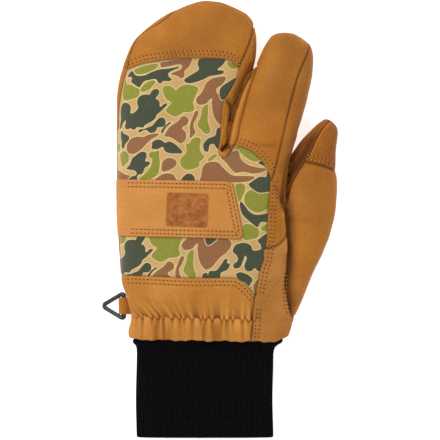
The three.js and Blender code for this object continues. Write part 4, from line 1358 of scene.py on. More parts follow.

# The print, charted on enlargements of the photograph: the column and row of an
# enlargement's corner, its scale, and the outlines of the shapes of each colour on it.
# The print repeats, and what shows twice is charted once.
PRINT_REPEAT = (-14.5, 145.0)
CHARTS = [
    (
        (116, 56),
        15.68,
        {
            "light_green": [
                [(270, 235), (330, 195), (450, 155), (640, 125), (655, 160), (620, 205), (560, 240),
                 (480, 270), (400, 290), (330, 285), (290, 260)],
                [(85, 600), (110, 430), (135, 360), (160, 440), (230, 450), (300, 490), (365, 525),
                 (370, 600), (330, 650), (240, 680), (160, 700), (105, 680)],
                [(385, 520), (440, 450), (520, 400), (590, 385), (620, 410), (600, 450), (520, 530),
                 (440, 565), (400, 560)],
                [(730, 520), (760, 480), (820, 470), (880, 490), (925, 530), (950, 540), (990, 500),
                 (1050, 465), (1130, 455), (1220, 470), (1290, 510), (1280, 570), (1240, 650),
                 (1210, 740), (1230, 800), (1220, 860), (1150, 885), (1060, 890), (1000, 930),
                 (930, 955), (860, 930), (800, 890), (785, 850), (830, 790), (870, 740), (800, 690),
                 (760, 630), (740, 570)],
            ],
            "brown": [
                [(700, 110), (800, 90), (900, 70), (1000, 60), (1100, 50), (1195, 45), (1180, 110),
                 (1140, 180), (1090, 230), (1070, 250), (1080, 300), (1060, 340), (1010, 360),
                 (985, 330), (930, 310), (860, 290), (900, 260), (960, 240), (1020, 210), (1040, 170),
                 (1020, 140), (950, 140), (860, 160), (760, 180), (710, 185)],
            ],
            "dark_green": [
                [(170, 330), (185, 280), (240, 235), (270, 250), (300, 300), (360, 315), (450, 305),
                 (560, 255), (680, 215), (800, 205), (900, 190), (980, 170), (990, 190), (920, 220),
                 (840, 260), (820, 300), (840, 340), (880, 370), (860, 395), (800, 400), (740, 400),
                 (710, 435), (670, 430), (640, 380), (600, 365), (500, 385), (440, 400), (400, 450),
                 (370, 495), (330, 480), (260, 430), (230, 395), (250, 350), (210, 325), (185, 340)],
                [(50, 830), (80, 760), (130, 735), (190, 745), (228, 790), (230, 850), (222, 905),
                 (260, 900), (310, 870), (350, 810), (335, 770), (330, 720), (350, 660), (400, 620),
                 (470, 605), (530, 610), (550, 570), (590, 530), (640, 520), (675, 540), (680, 590),
                 (640, 645), (625, 680), (660, 690), (690, 740), (685, 790), (710, 800), (750, 760),
                 (800, 745), (805, 775), (760, 820), (700, 880), (640, 930), (620, 982), (560, 1032),
                 (450, 1092), (430, 1125), (330, 1122), (300, 1155), (250, 1155), (225, 1132),
                 (190, 1152), (160, 1150), (135, 1120), (140, 1070), (155, 1005), (100, 1060),
                 (60, 1135), (25, 1150), (35, 1080), (50, 1000), (45, 920)],
            ],
        },
    ),
    (
        (116, 118),
        15.68,
        {
            "light_green": [
                [(1445, -210), (1445, -70), (1440, 20), (1455, 100), (1485, 180), (1470, 235),
                 (1420, 255), (1380, 230), (1340, 190), (1290, 140), (1290, 80), (1320, 10),
                 (1340, -60), (1345, -120), (1380, -180), (1410, -205)],
                [(515, 570), (560, 535), (620, 530), (680, 515), (680, 600), (690, 700), (680, 800),
                 (660, 880), (600, 930), (540, 965), (450, 975), (360, 968), (400, 920), (470, 860),
                 (530, 790), (560, 720), (570, 640), (530, 625)],
                [(40, 620), (35, 580), (60, 540), (120, 520), (180, 545), (200, 620), (190, 680),
                 (140, 730), (100, 770), (70, 740), (50, 680)],
                [(-30, 400), (20, 405), (40, 430), (40, 480), (15, 530), (-30, 530)],
                [(1150, 400), (1190, 340), (1240, 310), (1310, 310), (1335, 350), (1320, 430),
                 (1320, 500), (1350, 560), (1390, 600), (1370, 640), (1310, 690), (1310, 750),
                 (1250, 790), (1150, 815), (1080, 805), (1020, 750), (1005, 680), (1030, 620),
                 (1080, 580), (1110, 520), (1100, 450), (1095, 415)],
                [(1430, 685), (1460, 625), (1520, 578), (1576, 560), (1584, 595), (1530, 645),
                 (1480, 680)],
            ],
            "brown": [
                [(760, 290), (790, 220), (850, 140), (920, 90), (980, 50), (1030, -12), (1080, -27),
                 (1130, 8), (1140, 65), (1110, 110), (1045, 150), (1045, 180), (1090, 220),
                 (1105, 290), (1080, 360), (1020, 405), (970, 380), (900, 330), (830, 300)],
                [(1290, -105), (1295, -70), (1265, 10), (1220, 90), (1225, 160), (1250, 235),
                 (1200, 290), (1158, 330), (1160, 250), (1160, 130), (1185, 40), (1215, -40),
                 (1235, -85), (1260, -108)],
                [(165, 440), (190, 370), (250, 320), (340, 295), (430, 300), (500, 270), (580, 250),
                 (640, 245), (680, 260), (640, 290), (570, 330), (510, 380), (450, 440), (380, 510),
                 (300, 560), (220, 565), (170, 520)],
                [(720, 840), (715, 760), (740, 680), (790, 640), (850, 630), (920, 650), (955, 710),
                 (930, 760), (880, 800), (800, 835)],
                [(610, 970), (670, 920), (740, 880), (830, 870), (900, 890), (930, 930), (945, 970),
                 (945, 1010), (610, 1010)],
                [(-30, 820), (60, 850), (140, 885), (220, 910), (180, 960), (90, 975), (-30, 970)],
            ],
            "dark_green": [
                [(345, 210), (380, 180), (440, 175), (500, 150), (560, 130), (600, 90), (650, 30),
                 (680, 5), (730, -5), (775, 30), (780, 80), (760, 130), (700, 150), (650, 150),
                 (640, 190), (610, 225), (560, 240), (510, 225), (490, 195), (450, 195), (400, 215),
                 (365, 235)],
                [(710, 245), (715, 200), (750, 150), (800, 100), (850, 65), (885, 65), (860, 90),
                 (800, 140), (760, 190), (740, 240), (725, 255)],
                [(155, 795), (210, 740), (250, 640), (300, 600), (380, 540), (450, 535), (480, 570),
                 (480, 620), (455, 680), (500, 685), (535, 700), (520, 740), (450, 790), (430, 850),
                 (400, 885), (350, 890), (330, 930), (325, 985), (180, 985), (240, 920), (300, 905),
                 (325, 870), (290, 825), (220, 815)],
                [(50, 260), (55, 215), (90, 200), (110, 240), (150, 260), (190, 280), (210, 320),
                 (180, 370), (140, 410), (125, 470), (95, 475), (65, 450), (75, 380), (55, 320)],
                [(555, 490), (570, 430), (560, 400), (600, 360), (660, 340), (720, 355), (770, 390),
                 (830, 370), (890, 390), (950, 430), (1000, 480), (1045, 530), (1030, 560),
                 (960, 560), (870, 560), (790, 540), (755, 500), (745, 455), (700, 470), (650, 495),
                 (600, 490)],
                [(1020, 970), (1060, 920), (1110, 880), (1170, 878), (1220, 910), (1240, 970),
                 (1240, 1010), (1020, 1010)],
            ],
        },
    ),
    (
        (100, 0),
        6.272,
        {
            "light_green": [
                [(800, 390), (840, 400), (870, 420), (830, 435), (805, 415)],
                [(840, 930), (870, 918), (920, 925), (960, 950), (1000, 985), (1010, 1000),
                 (980, 1015), (940, 1005), (900, 980), (880, 960), (850, 945)],
                [(850, 1160), (900, 1155), (910, 1190), (890, 1240), (875, 1280), (860, 1230)],
            ],
            "brown": [
                [(610, 650), (605, 620), (640, 580), (670, 520), (720, 490), (790, 485), (770, 530),
                 (730, 560), (735, 600), (690, 625), (670, 650), (630, 660)],
                [(635, 1100), (650, 1040), (690, 1015), (740, 1020), (780, 1060), (830, 1100),
                 (900, 1105), (970, 1110), (940, 1135), (880, 1145), (800, 1145), (640, 1145)],
                [(760, 985), (800, 965), (860, 945), (880, 990), (920, 1030), (980, 1050),
                 (1040, 1060), (1020, 1080), (960, 1090), (900, 1080), (850, 1085), (820, 1060),
                 (790, 1020)],
            ],
            "dark_green": [
                [(612, 403), (617, 387), (628, 370), (700, 366), (785, 372), (770, 410), (735, 440),
                 (775, 445), (770, 465), (720, 475), (690, 480), (650, 500), (600, 518), (560, 525),
                 (533, 516), (530, 500), (558, 480), (602, 453), (621, 436)],
                [(750, 590), (760, 550), (800, 520), (850, 490), (868, 500), (850, 560), (800, 612),
                 (765, 628)],
                [(650, 905), (680, 870), (725, 850), (735, 810), (765, 805), (767, 870), (755, 942),
                 (730, 925), (715, 905), (690, 910), (680, 950), (655, 945)],
                [(990, 1022), (1020, 1008), (1045, 1018), (1035, 1042)],
                [(1050, 1075), (1078, 1090), (1080, 1200), (1050, 1205), (1000, 1210), (960, 1190),
                 (930, 1160), (950, 1140), (1000, 1110), (1040, 1110)],
            ],
        },
    ),
    (
        (90, 180),
        6.031,
        {
            "light_green": [
                [(930, 130), (940, 80), (980, 60), (1040, 70), (1085, 90), (1085, 160), (1040, 190),
                 (1000, 195), (960, 175)],
                [(920, 280), (950, 265), (1000, 280), (1020, 310), (1010, 345), (960, 360),
                 (925, 355)],
                [(1030, 290), (1060, 265), (1085, 258), (1085, 300), (1050, 310)],
            ],
            "brown": [
                [(650, 430), (650, 395), (670, 365), (720, 350), (790, 345), (845, 365), (850, 400),
                 (820, 440), (780, 470), (740, 520), (700, 540), (670, 510), (655, 470)],
                [(985, 640), (1010, 600), (1040, 580), (1040, 700), (1000, 700)],
            ],
            "dark_green": [
                [(905, 130), (930, 150), (960, 190), (1000, 210), (1050, 205), (1085, 200),
                 (1080, 250), (1030, 255), (1010, 285), (980, 265), (950, 240), (920, 210),
                 (905, 170)],
                [(860, 430), (880, 390), (930, 378), (970, 395), (985, 425), (1030, 415),
                 (1025, 385), (1010, 365), (1070, 325), (1080, 400), (1066, 430), (1060, 490),
                 (1055, 550), (1010, 548), (995, 530), (970, 550), (940, 545), (930, 515),
                 (945, 475), (935, 455), (925, 480), (905, 525), (870, 532), (864, 510), (890, 485),
                 (885, 455)],
                [(880, 570), (905, 555), (940, 565), (965, 580), (980, 600), (970, 622), (955, 640),
                 (935, 618), (898, 600)],
                [(715, 585), (720, 550), (760, 545), (790, 510), (810, 480), (830, 475), (825, 500),
                 (845, 505), (830, 540), (790, 560), (780, 600), (715, 600)],
            ],
        },
    ),
]


def print_distance(plan, tint):
    """Signed distance in millimetres to the nearest shape of one colour, positive inside."""
    reach = 3.0
    best = np.full(len(plan), -reach)
    for corner, scale, colours in CHARTS:
        for outline in colours[tint]:
            charted = np.array(outline, float) / scale + corner
            for repeat in (-1, 0, 1):
                placed = from_photo(charted + np.array(PRINT_REPEAT) * repeat)
                closed = curve(np.concatenate([placed[-2:], placed, placed[:2]]), 0.6)
                closed = closed[closed_part(placed, closed)]
                best = np.maximum(best, inside_outline(plan, closed, reach))
    return best


def closed_part(corners, line):
    """Which points of a smooth line belong to one turn round its corners."""
    first = int(np.argmin(np.linalg.norm(line - corners[0], axis=1)))
    later = np.linalg.norm(line - corners[0], axis=1)
    later[: first + 8] = 1e9
    return slice(first, int(np.argmin(later)))


# Panels from the skin

SEAM_CURL = 1.3  # radius of an edge that lies over its neighbour
GROOVE_WIDTH = 1.1
GROOVE_DEPTH = 1.0
ROWS_IN = (2.3, 4.9)  # rows of stitches, from the edge
LIES_OVER = {"wrist_side": ("cloth_back", "wrist_band")}
SEAMLESS = ("palm", "index_front", "thumb_front")  # these are one leather, with no seams between
RIDGE_RISE = 0.8  # the raised seam along the thumb
# the ridge's painted highlight starts at RIDGE_FROM, and the painted shade in the hollow beside it ends at RIDGE_TIP
RIDGE_FROM = 0.51  # where it starts to show light, and where its hollow ends, as
RIDGE_TIP = 0.645  # shares of SHELL_LENGTH
top_points = []
top_faces = []


def neighbours_of(number):
    """The segments of one panel's edge, sorted by what lies beyond them."""
    f = skin.faces
    count = len(skin.points)
    g = np.roll(f, -1, axis=1)
    keys = (f * count + g).ravel()
    owner = np.repeat(skin.panel, 3)
    order = np.argsort(keys)
    back = (g * count + f).ravel()
    spot = np.searchsorted(keys[order], back)
    spot = np.clip(spot, 0, len(keys) - 1)
    found = keys[order][spot] == back
    beyond = np.where(found, owner[order][spot], -1)
    mine = (owner == number) & (beyond != number)
    return np.stack([f.ravel()[mine], g.ravel()[mine]], axis=1), beyond[mine]


def closed_solid(outer, faces, normals, edges, wall, tuck=0.35):
    """Points and triangles of a sheet with a thickness. Its inner edge is tucked in a little."""
    n = len(outer)
    inward = np.zeros_like(outer)
    run = outer[edges[:, 1]] - outer[edges[:, 0]]
    side = unit(np.cross(normals[edges[:, 0]], run))
    np.add.at(inward, edges[:, 0], side)
    np.add.at(inward, edges[:, 1], side)
    inner = outer - normals * wall + unit(inward) * tuck * (np.abs(inward).sum(axis=1) > 0)[:, None]
    inner[:, 2] = np.maximum(inner[:, 2], np.minimum(outer[:, 2], 0.8))
    a, b = edges.T
    rim = np.concatenate([np.stack([b, a, a + n], axis=1), np.stack([b, a + n, b + n], axis=1)])
    everything = np.concatenate([faces, faces[:, ::-1] + n, rim])
    slots = np.concatenate([np.zeros(len(faces)), np.ones(len(faces)), np.zeros(len(rim))])
    return np.concatenate([outer, inner]), everything, slots


def build_panel(number, name):
    edges, beyond = neighbours_of(number)
    segments = skin.points[edges]
    part = skin.part(skin.panel == number)
    if name == "wrist_band":
        part.refine()
    is_cloth = number == CLOTH
    under = [NAMES.index(lower) for lower in LIES_OVER.get(name, ("cloth_back",))]
    plain = [NAMES.index(other) for other in SEAMLESS if name in SEAMLESS and other != name]
    is_over = np.isin(beyond, under) & (not is_cloth)
    over = segments[is_over]
    groove = segments[(beyond >= 0) & ~is_over & ~np.isin(beyond, plain) & (not is_cloth)]
    hem = segments[beyond < 0]
    height, fold = relief(part.points, unit(part.marks["normal"]))
    part.marks["relief"] = height
    part.marks["fold"] = fold
    part.marks["over"] = nearness(part.points, over)
    part.marks["groove"] = nearness(part.points, groove)
    part.marks["rim"] = nearness(part.points, hem)
    for name_of, levels in (("over", (0.3, 0.8, 1.4)), ("groove", (0.5, 1.2)), ("rim", (0.4, 1.0))):
        for level in levels:
            part.split(name_of, level)
    over = part.marks["over"]
    groove = part.marks["groove"]
    rim = part.marks["rim"]
    level = CLOTH_LEVEL if is_cloth else LEATHER_LEVEL
    rise = part.marks["relief"] * (0.5 if is_cloth else 1.0) + level
    turn = np.clip(1 - over / SEAM_CURL, 0, 1)
    rise = rise - 0.8 * (1 - np.sqrt(1 - turn**2))
    rise = rise - GROOVE_DEPTH * np.exp(-((groove / GROOVE_WIDTH) ** 2))
    turn = np.clip(1 - rim / 1.2, 0, 1)
    rise = rise - 0.9 * (1 - np.sqrt(1 - turn**2))
    # painted shade from the folds and creases, and painted shade in the seam grooves
    dark = part.marks["fold"] + 0.7 * np.exp(-((groove / 0.8) ** 2))
    if name in ("thumb_back", "thumb_cap"):
        to_ridge = distance_to_line(part.points[:, :2], thumb_ridge)
        ridge = np.exp(-(((to_ridge - 1.0) / 0.8) ** 2))
        rise = rise + RIDGE_RISE * ridge
        raised = np.clip((part.points[:, 1] - RIDGE_FROM * SHELL_LENGTH) / 8, 0, 1)
        # a painted highlight along the raised ridge of the thumb
        dark = dark - 0.5 * ridge * raised
    if name == "thumb_front":
        to_ridge = distance_to_line(part.points[:, :2], thumb_ridge)
        up = np.clip(part.marks["normal"][:, 2], 0, 1) ** 2
        rise = rise - 3.0 * up * np.clip(to_ridge / 6, 0, 1)
        # painted shade on the thumb's inner side, which faces the valley by the hand, strongest near the ridge and
        # gone towards the tip
        hollow = np.clip(to_ridge / 2, 0, 1) * (1 - 0.5 * np.clip((to_ridge - 5) / 6, 0, 1))
        far = np.clip((RIDGE_TIP * SHELL_LENGTH - part.points[:, 1]) / 12, 0, 1)
        dark = dark + 1.0 * up * hollow * far
    # painted shade where the panel's edge lies over its neighbour
    dark = dark + 0.35 * np.exp(-((over / 0.5) ** 2))
    # the stitch rows sink the leather a little, with painted shade in their channels
    for row in ROWS_IN:
        channel = np.exp(-(((over - row) / 0.55) ** 2))
        rise = rise - 0.22 * channel
        dark = dark + 0.14 * channel
    normals = unit(part.marks["normal"])
    outer = part.points + normals * rise[:, None]
    outer[:, 2] = np.maximum(outer[:, 2], 0.05)
    shade = {"shade": np.clip(dark, -1, 1)}
    if is_cloth:
        # painted shade along the cloth's edges, where the leather lies over it
        shade["shade"] = shade["shade"] + 0.6 * np.exp(-((edge_of_cloth(part, segments)) ** 2))
        plan = part.points[:, :2].copy()
        plan[:, 0] -= 0.3 * np.clip(24 - part.points[:, 2], 0, None)
        for tint in ("light_green", "brown", "dark_green"):
            shade[tint] = print_distance(plan, tint)
    top_faces.append(part.faces + sum(len(p) for p in top_points))
    top_points.append(outer)
    solid, faces, slots = closed_solid(outer, part.faces, normals, part.boundary(), LEATHER_WALL)
    shade = {key: np.concatenate([rows, rows]) for key, rows in shade.items()}
    materials = [PANEL_MATERIAL.get(name, tan_leather), lining_material]
    obj = make_object(name + "_skin", solid, faces, materials, slots, shade)
    slot = "printed_cloth" if is_cloth else "leather"
    finish_piece(obj, "glove", slot, name)


def edge_of_cloth(part, segments):
    return nearness(part.points, segments) / 1.0


for panel_number, panel_name in enumerate(NAMES):
    build_panel(panel_number, panel_name)


# The strap, with its pressed square


def build_strap():
    part = base_skin
    part.split("strap")
    part = part.part(part.marks["strap"][part.faces].mean(axis=1) > 0)
    for level in (0.3, 0.8, 1.4):
        part.split("strap", level)
    for level in (-0.5, 0.0, 0.5):
        part.split("patch", level)
    edge = part.marks["strap"]
    turn = np.clip(1 - edge / SEAM_CURL, 0, 1)
    up = np.clip(part.marks["normal"][:, 2], 0, 1)
    height, _ = relief(part.points, unit(part.marks["normal"]))
    rise = STRAP_LEVEL * (0.35 + 0.65 * up) + 0.5 * height - 0.9 * (1 - np.sqrt(1 - turn**2))
    sunk = np.clip((part.marks["patch"] + 0.5) / 0.8, 0, 1)
    rise = rise - PATCH_DEPTH * sunk
    # painted shade along the strap's edge, in its stitch channels, and round the sunk edge of the pressed square
    dark = 0.3 * np.exp(-((edge / 0.5) ** 2))
    for row in ROWS_IN:
        channel = np.exp(-(((edge - row) / 0.55) ** 2))
        rise = rise - 0.2 * channel
        dark = dark + 0.12 * channel
    dark = dark + 0.55 * np.exp(-(((part.marks["patch"] + 0.1) / 0.5) ** 2))
    normals = unit(part.marks["normal"])
    outer = part.points + normals * rise[:, None]
    top_faces.append(part.faces + sum(len(p) for p in top_points))
    top_points.append(outer)
    solid, faces, slots = closed_solid(outer, part.faces, normals, part.boundary(), STRAP_WALL, 0.1)
    shade = {"shade": dark, "burnish": np.clip(part.marks["patch"] / 0.4 + 0.5, 0, 1)}
    shade = {key: np.concatenate([rows, rows]) for key, rows in shade.items()}
    obj = make_object("strap_leather", solid, faces, [strap_leather, strap_leather], slots, shade)
    finish_piece(obj, "glove", "leather", "strap")


build_strap()


# Stitches: a short raised thread between needle holes, with small dark balls at the holes as painted shade inside
# them, laid on the panels from above


def ball(rings, sides):
    """Points and triangles of a unit ball."""
    rows = [(0.0, 0.0, 1.0)]
    for i in range(1, rings):
        lat = math.pi * i / rings
        for j in range(sides):
            lon = 2 * math.pi * j / sides
            rows.append((math.sin(lat) * math.cos(lon), math.sin(lat) * math.sin(lon), math.cos(lat)))
    rows.append((0.0, 0.0, -1.0))
    faces = []
    for j in range(sides):
        k = (j + 1) % sides
        faces.append((0, 1 + j, 1 + k))
        last = len(rows) - 1
        faces.append((last, last - sides + k, last - sides + j))
        for i in range(rings - 2):
            a = 1 + i * sides
            faces.append((a + j, a + sides + j, a + sides + k))
            faces.append((a + j, a + sides + k, a + k))
    return np.array(rows), np.array(faces)


def scattered(name, template, middles, axes, sizes, made_of):
    """Copies of a template at middles, turned to axes and scaled, as one mesh."""
    points, faces = template
    shaped = points[None] * np.array(sizes)
    out = middles[:, None] + np.einsum("nij,nkj->nik", np.broadcast_to(shaped, (len(middles), *points.shape)), axes)
    numbers = faces[None] + (np.arange(len(middles)) * len(points))[:, None, None]
    return make_object(name, out.reshape(-1, 3), numbers.reshape(-1, 3), [made_of])


panel_tree = BVHTree.FromPolygons(
    np.concatenate(top_points).tolist(), np.concatenate(top_faces).tolist()
)
STITCH_PITCH = 2.7
HOLE_SIZE = (0.52, 0.52, 0.32)
STITCH_SIZE = (1.0, 0.4, 0.34)


def dropped(plan):
    """The highest point of the panels over each plan point, with its normal, where there is one."""
    out = []
    for x, y in plan:
        spot, normal, _, _ = panel_tree.ray_cast(Vector((x, y, 90.0)), Vector((0, 0, -1)))
        out.append(None if spot is None else (np.array(spot), np.array(normal)))
    return out


# The stitches at the root of the thumb, charted on the photograph
THUMB_ROOT_ROW = [(284.4, 273.5), (282.9, 290), (283.9, 301.5), (286.2, 310.7), (289.5, 315.3)]

stitch_middles, stitch_axes, hole_middles, hole_axes = [], [], [], []


def sew(line, steepest=0.3):
    """A row of stitches along a line in plan."""
    marks_on = dropped(even(line, STITCH_PITCH))
    for here, there in zip(marks_on[:-1], marks_on[1:]):
        if here is None or there is None:
            continue
        run = there[0] - here[0]
        normal = here[1] + there[1]
        normal /= np.linalg.norm(normal)
        if normal[2] < steepest or np.linalg.norm(run) > 1.7 * STITCH_PITCH:
            continue
        along = run - normal * (run @ normal)
        along /= np.linalg.norm(along)
        axes = np.stack([along, np.cross(normal, along), normal], axis=1)
        middle = (here[0] + there[0]) / 2
        stitch_middles.append(middle + 0.08 * normal)
        stitch_axes.append(axes)
        hole_middles.append(here[0] - 0.02 * normal)
        hole_axes.append(axes)


def sew_double(line, side, trim=0.0):
    """Two rows beside a seam, on its left if side is 1 and on its right if side is -1."""
    for row in ROWS_IN:
        moved = beside(even(line, 1.0), side * row)
        kept = moved[int(trim) : len(moved) - int(trim)] if trim else moved
        sew(kept)


sew_double(cap_lower, 1)
sew_double(index_lower, 1)
sew_double(side_seam, 1)
sew_double(band_top, 1)
sew_double(band_right, -1)
for shift in (0.0, 2.9):
    sew(curve(from_photo(THUMB_ROOT_ROW)) + [shift * MM_PER_PIXEL, 0])
sew_double(thumb_cap_seam, 1)
STRAP_ROWS_FROM = 8.0  # where the strap comes round from the side, it has no stitches
for strap_row in ROWS_IN:
    row_line = beside(even(STRAP_OUTLINE, 1.0), -strap_row)
    sew(row_line[row_line[:, 0] > STRAP_ROWS_FROM])
stitches = scattered(
    "stitches",
    ball(5, 7),
    np.array(stitch_middles),
    np.array(stitch_axes),
    STITCH_SIZE,
    thread_material,
)
finish_piece(stitches, "glove", "leather")
holes = scattered(
    "needle_hole_shade",
    ball(4, 6),
    np.array(hole_middles),
    np.array(hole_axes),
    HOLE_SIZE,
    hole_shade_material,
)
finish_piece(holes, "glove", "leather")


# The knit cuff


def superellipse(section, power, count):
    """Points round a section in x and z, evenly spaced, with their outward directions."""
    angle = np.linspace(0, 2 * np.pi, 1440, endpoint=False)
    c, s = np.cos(angle), np.sin(angle)
    across = np.sign(c) * np.abs(c) ** (2 / power)
    up = np.sign(s) * np.abs(s) ** (2 / power)
    left, right, seam_left, seam_right, back, palm = section
    x = (left + right) / 2 + across * (right - left) / 2
    z = seam_left + (seam_right - seam_left) * (across + 1) / 2 + up * np.where(up > 0, back, palm)
    ring = np.stack([x, z], axis=1)
    closed = np.concatenate([ring, ring[:1]])
    length = np.concatenate([[0], np.cumsum(np.linalg.norm(np.diff(closed, axis=0), axis=1))])
    wanted = np.arange(count) / count * length[-1]
    ring = np.stack([np.interp(wanted, length, closed[:, i]) for i in (0, 1)], axis=1)
    run = np.roll(ring, -1, axis=0) - np.roll(ring, 1, axis=0)
    run /= np.linalg.norm(run, axis=1)[:, None]
    return ring, np.stack([run[:, 1], -run[:, 0]], axis=1)


def build_cuff():
    hem_left = float(at(shell, "left", 0))
    hem_right = float(at(shell, "right", 0))
    middle = (hem_left + hem_right) / 2 - 0.02 * HAND_WIDTH
    half = CUFF_HEIGHT / 2
    plain = np.array([middle - CUFF_WIDTH / 2, middle + CUFF_WIDTH / 2, half, half, half, half])
    inset = LEATHER_WALL + 0.9
    bulge = np.array([-1.6, 0.6, 0.0, 0.0, 0.6, 0.0])
    seams = [float(at(shell, key, 0)) for key in ("seam_left", "seam_right")]
    mouth = np.array(
        [
            hem_left + inset,
            hem_right - inset,
            *seams,
            float(at(shell, "back", 0)) - inset,
            sum(seams) / 2 - LEATHER_WALL - 1.9,
        ]
    )
    around = RIB_COUNT * 8
    turn = np.arange(around) / 8
    wale = turn - np.floor(turn) - 0.5
    rib = np.abs(np.cos(np.pi * turn)) ** 0.7
    down = np.concatenate([[-CUFF_TUCK, 0.0], np.linspace(1.0, 16, 12), np.linspace(18, CUFF_LENGTH, 30)])
    flare = np.interp(down, [0, 2.0, 3.5, 5.0, 7.0, 11.0], [1, 1.0, 0.85, 0.45, 0.12, 0])
    rounding = 1.4
    layers = []
    for k, (d, share) in enumerate(zip(down, flare)):
        layers.append((-d, share, 0.0))
    layers.append((-CUFF_LENGTH - 0.7, 0.0, -0.5))
    layers.append((-CUFF_LENGTH - 1.0, 0.0, -rounding))
    layers.append((-CUFF_LENGTH - 0.7, 0.0, -KNIT_WALL + 0.5))
    for d, share in list(zip(down, flare))[::-2]:
        layers.append((-d, share, -KNIT_WALL))
    points, shade, course = [], [], []
    for y, share, inward in layers:
        section = plain + (mouth - plain) * share
        section = section + bulge * share * np.exp(-(((y + 3.0) / 2.2) ** 2))
        ring, out = superellipse(section, CUFF_POWER, around)
        wobble = 0.25 * np.sin(turn * 0.5 + 0.06 * y) + 0.15 * np.sin(turn * 1.3 - 0.11 * y)
        relief_here = inward - RIB_DEPTH * (1 - rib) + wobble
        ring = ring + out * relief_here[:, None]
        points.append(np.stack([ring[:, 0], np.full(around, y), np.maximum(ring[:, 1], 0.05)], axis=1))
        shade.append((1 - rib) ** 1.5)
        course.append(np.full(around, y / 1.7))
    n = around
    count = len(layers)
    faces = []
    i = np.arange(n)
    j = (i + 1) % n
    for k in range(count - 1):
        a, b = k * n, (k + 1) * n
        faces.append(np.stack([a + i, a + j, b + j, b + i], axis=1))
    last = (count - 1) * n
    faces.append(np.stack([last + i, last + j, j, i], axis=1))
    marks_here = {
        "shade": np.concatenate(shade),
        "course": np.concatenate(course),
        "wale": np.tile(wale, count),
    }
    made = make_object(
        "knit_cuff_ribs", np.concatenate(points), np.concatenate(faces)[:, ::-1], [knit_material], None, marks_here
    )
    finish_piece(made, "glove", "knit", "knit_cuff")


build_cuff()


# The loop and the clip


def sweep(path, section, closed):
    """The unit directions along a path, and the path itself. section is not used."""
    path = np.asarray(path, float)
    if closed:
        run = np.roll(path, -1, axis=0) - np.roll(path, 1, axis=0)
    else:
        run = np.gradient(path, axis=0)
    run = unit(run)
    return run, path


def build_loop():
    radius = 0.6 * CLIP_ROD + CLIP_CLEARANCE + LOOP_THICKNESS / 2
    eye_half = CLIP_BAR_LENGTH / 2 - CLIP_ROD * 0.88
    width = 2 * (eye_half * 0.91 - CLIP_CLEARANCE)
    angles = np.radians(np.linspace(60, 300, 22))
    arc = [(radius * math.cos(a), radius * math.sin(a)) for a in angles]
    half = LOOP_THICKNESS / 2
    line = curve([(9.0, half), (6.0, half), (3.6, half + 0.35)] + arc + [(3.6, -half - 0.35), (6.0, -half), (9.0, -half)], 0.35)
    run = unit(np.gradient(line, axis=0))
    out = np.stack([-run[:, 1], run[:, 0]], axis=1) * -1
    corners = [(0.0, 1.0), (0.5, 0.94), (0.87, 0.72), (1.0, 0.3)]
    ring = []
    for sx, sy in ((1, 1), (1, -1), (-1, -1), (-1, 1)):
        part = corners if sx * sy > 0 else corners[::-1]
        ring += [(sx * a, sy * b) for a, b in part]
    across = []
    for a, b in ring:
        spread_y = math.copysign(width / 2 - half * (1 - abs(a)), a) if a else 0.0
        across.append((spread_y if a else 0.0, b * half))
    rows = []
    for (x, z), (ox, oz) in zip(line, out):
        for shift, lift in across:
            rows.append((BAR_X + x + ox * lift, LOOP_Y + shift, LOOP_HEIGHT + z + oz * lift))
    n = len(across)
    faces = []
    for k in range(len(line) - 1):
        for i in range(n):
            j = (i + 1) % n
            faces.append((k * n + i, k * n + j, (k + 1) * n + j, (k + 1) * n + i))
    made = make_object("clip_loop_leather", np.array(rows), faces, [tan_leather], None, {"shade": np.zeros(len(rows))})
    finish_piece(made, "glove", "leather", "clip_loop")


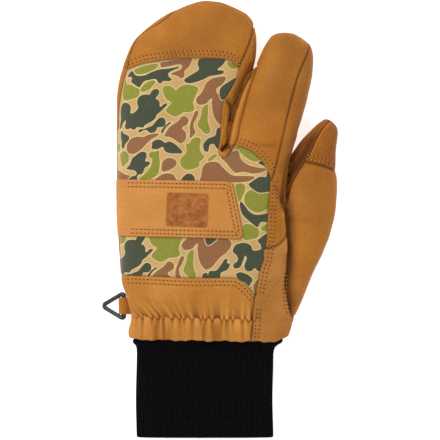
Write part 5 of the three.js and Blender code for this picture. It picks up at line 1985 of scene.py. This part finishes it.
def build_clip():
    rod = CLIP_ROD / 2
    half = CLIP_BAR_LENGTH / 2 - 1.1
    side = [
        (0.0, 0.0),
        (0.0, half - 2.2),
        (-0.3, half - 0.5),
        (-1.7, half - 0.1),
        (-4.2, half - 1.5),
        (-8.0, half - 3.6),
        (-12.0, half - 5.9),
        (-CLIP_DEPTH + rod + 0.35, 1.3),
    ]
    key = side + [(-CLIP_DEPTH + rod, 0.0)] + [(x, -y) for x, y in side[:0:-1]]
    closed = key + key[:3]
    path = curve(closed, 0.4)
    start = int(np.argmin(np.linalg.norm(path - key[1], axis=1)))
    loop_points = even(curve(key + [key[0]], 0.4), 0.45)[:-1]
    run = np.roll(loop_points, -1, axis=0) - np.roll(loop_points, 1, axis=0)
    run = run / np.linalg.norm(run, axis=1)[:, None]
    out = np.stack([run[:, 1], -run[:, 0]], axis=1)
    sides = 14
    lean = math.asin((LOOP_HEIGHT - rod) / CLIP_DEPTH)
    rows = []
    for (x, y), (ox, oy) in zip(loop_points, out):
        thick = rod * (1.0 + 0.12 * math.exp(-((x / 1.5) ** 2)))
        for i in range(sides):
            a = 2 * math.pi * i / sides
            c = math.copysign(abs(math.cos(a)) ** 0.8, math.cos(a)) * thick * 0.95
            s = math.copysign(abs(math.sin(a)) ** 0.8, math.sin(a)) * rod
            px, py, pz = x + ox * c, y + oy * c, s
            rows.append(
                (
                    BAR_X + px * math.cos(lean) - pz * math.sin(lean),
                    LOOP_Y + py,
                    LOOP_HEIGHT + px * math.sin(lean) + pz * math.cos(lean),
                )
            )
    n = len(loop_points)
    faces = []
    for k in range(n):
        for i in range(sides):
            j = (i + 1) % sides
            m = (k + 1) % n
            faces.append((k * sides + i, m * sides + i, m * sides + j, k * sides + j))
    made = make_object("clip_ring_moulded", np.array(rows), faces, [clip_material])
    finish_piece(made, "clip", "clip_plastic", "clip_ring")


build_loop()
build_clip()


# Stage, lights and camera


def build_stage():
    bpy.ops.mesh.primitive_plane_add(size=6.0, location=(0, 0, -0.0002))
    floor = bpy.context.object
    floor.name = "floor"
    made, _, shader = material("floor")
    shader.inputs["Base Color"].default_value = (0.8, 0.8, 0.8, 1)
    shader.inputs["Roughness"].default_value = 1.0
    shader.inputs["Specular IOR Level"].default_value = 0.0
    shader.inputs["Emission Color"].default_value = (1, 1, 1, 1)
    shader.inputs["Emission Strength"].default_value = 0.72
    floor.data.materials.append(made)
    world = bpy.data.worlds.new("studio")
    bpy.context.scene.world = world
    world.use_nodes = True
    back = world.node_tree.nodes["Background"]
    back.inputs["Color"].default_value = (1, 1, 1, 1)
    back.inputs["Strength"].default_value = 0.5
    for name, place_at, energy, size in (
        ("key", (-0.8, 0.7, 1.6), 25.0, 1.0),
        ("fill", (1.2, -0.4, 1.4), 5.0, 1.2),
    ):
        lamp = bpy.data.lights.new(name, "AREA")
        lamp.energy = energy
        lamp.size = size
        made = bpy.data.objects.new(name, lamp)
        made.location = place_at
        made.rotation_euler = (-Vector(place_at)).to_track_quat("-Z", "Y").to_euler()
        bpy.context.scene.collection.objects.link(made)


def build_camera():
    height = 3.0
    mid_height = 0.02
    camera = bpy.data.cameras.new("camera")
    camera.sensor_width = 36.0
    camera.lens = camera.sensor_width * (height - mid_height) / PHOTO_FIELD
    camera.clip_end = 20.0
    made = bpy.data.objects.new("camera", camera)
    middle = from_photo([(PHOTO_PIXELS / 2, PHOTO_PIXELS / 2)])[0]
    centre = in_frame(np.array([[middle[0], middle[1], 0.0]]))[0]
    made.location = (centre[0], centre[1], height)
    bpy.context.scene.collection.objects.link(made)
    bpy.context.scene.camera = made


build_stage()
build_camera()
bpy.context.scene.view_settings.view_transform = "Standard"
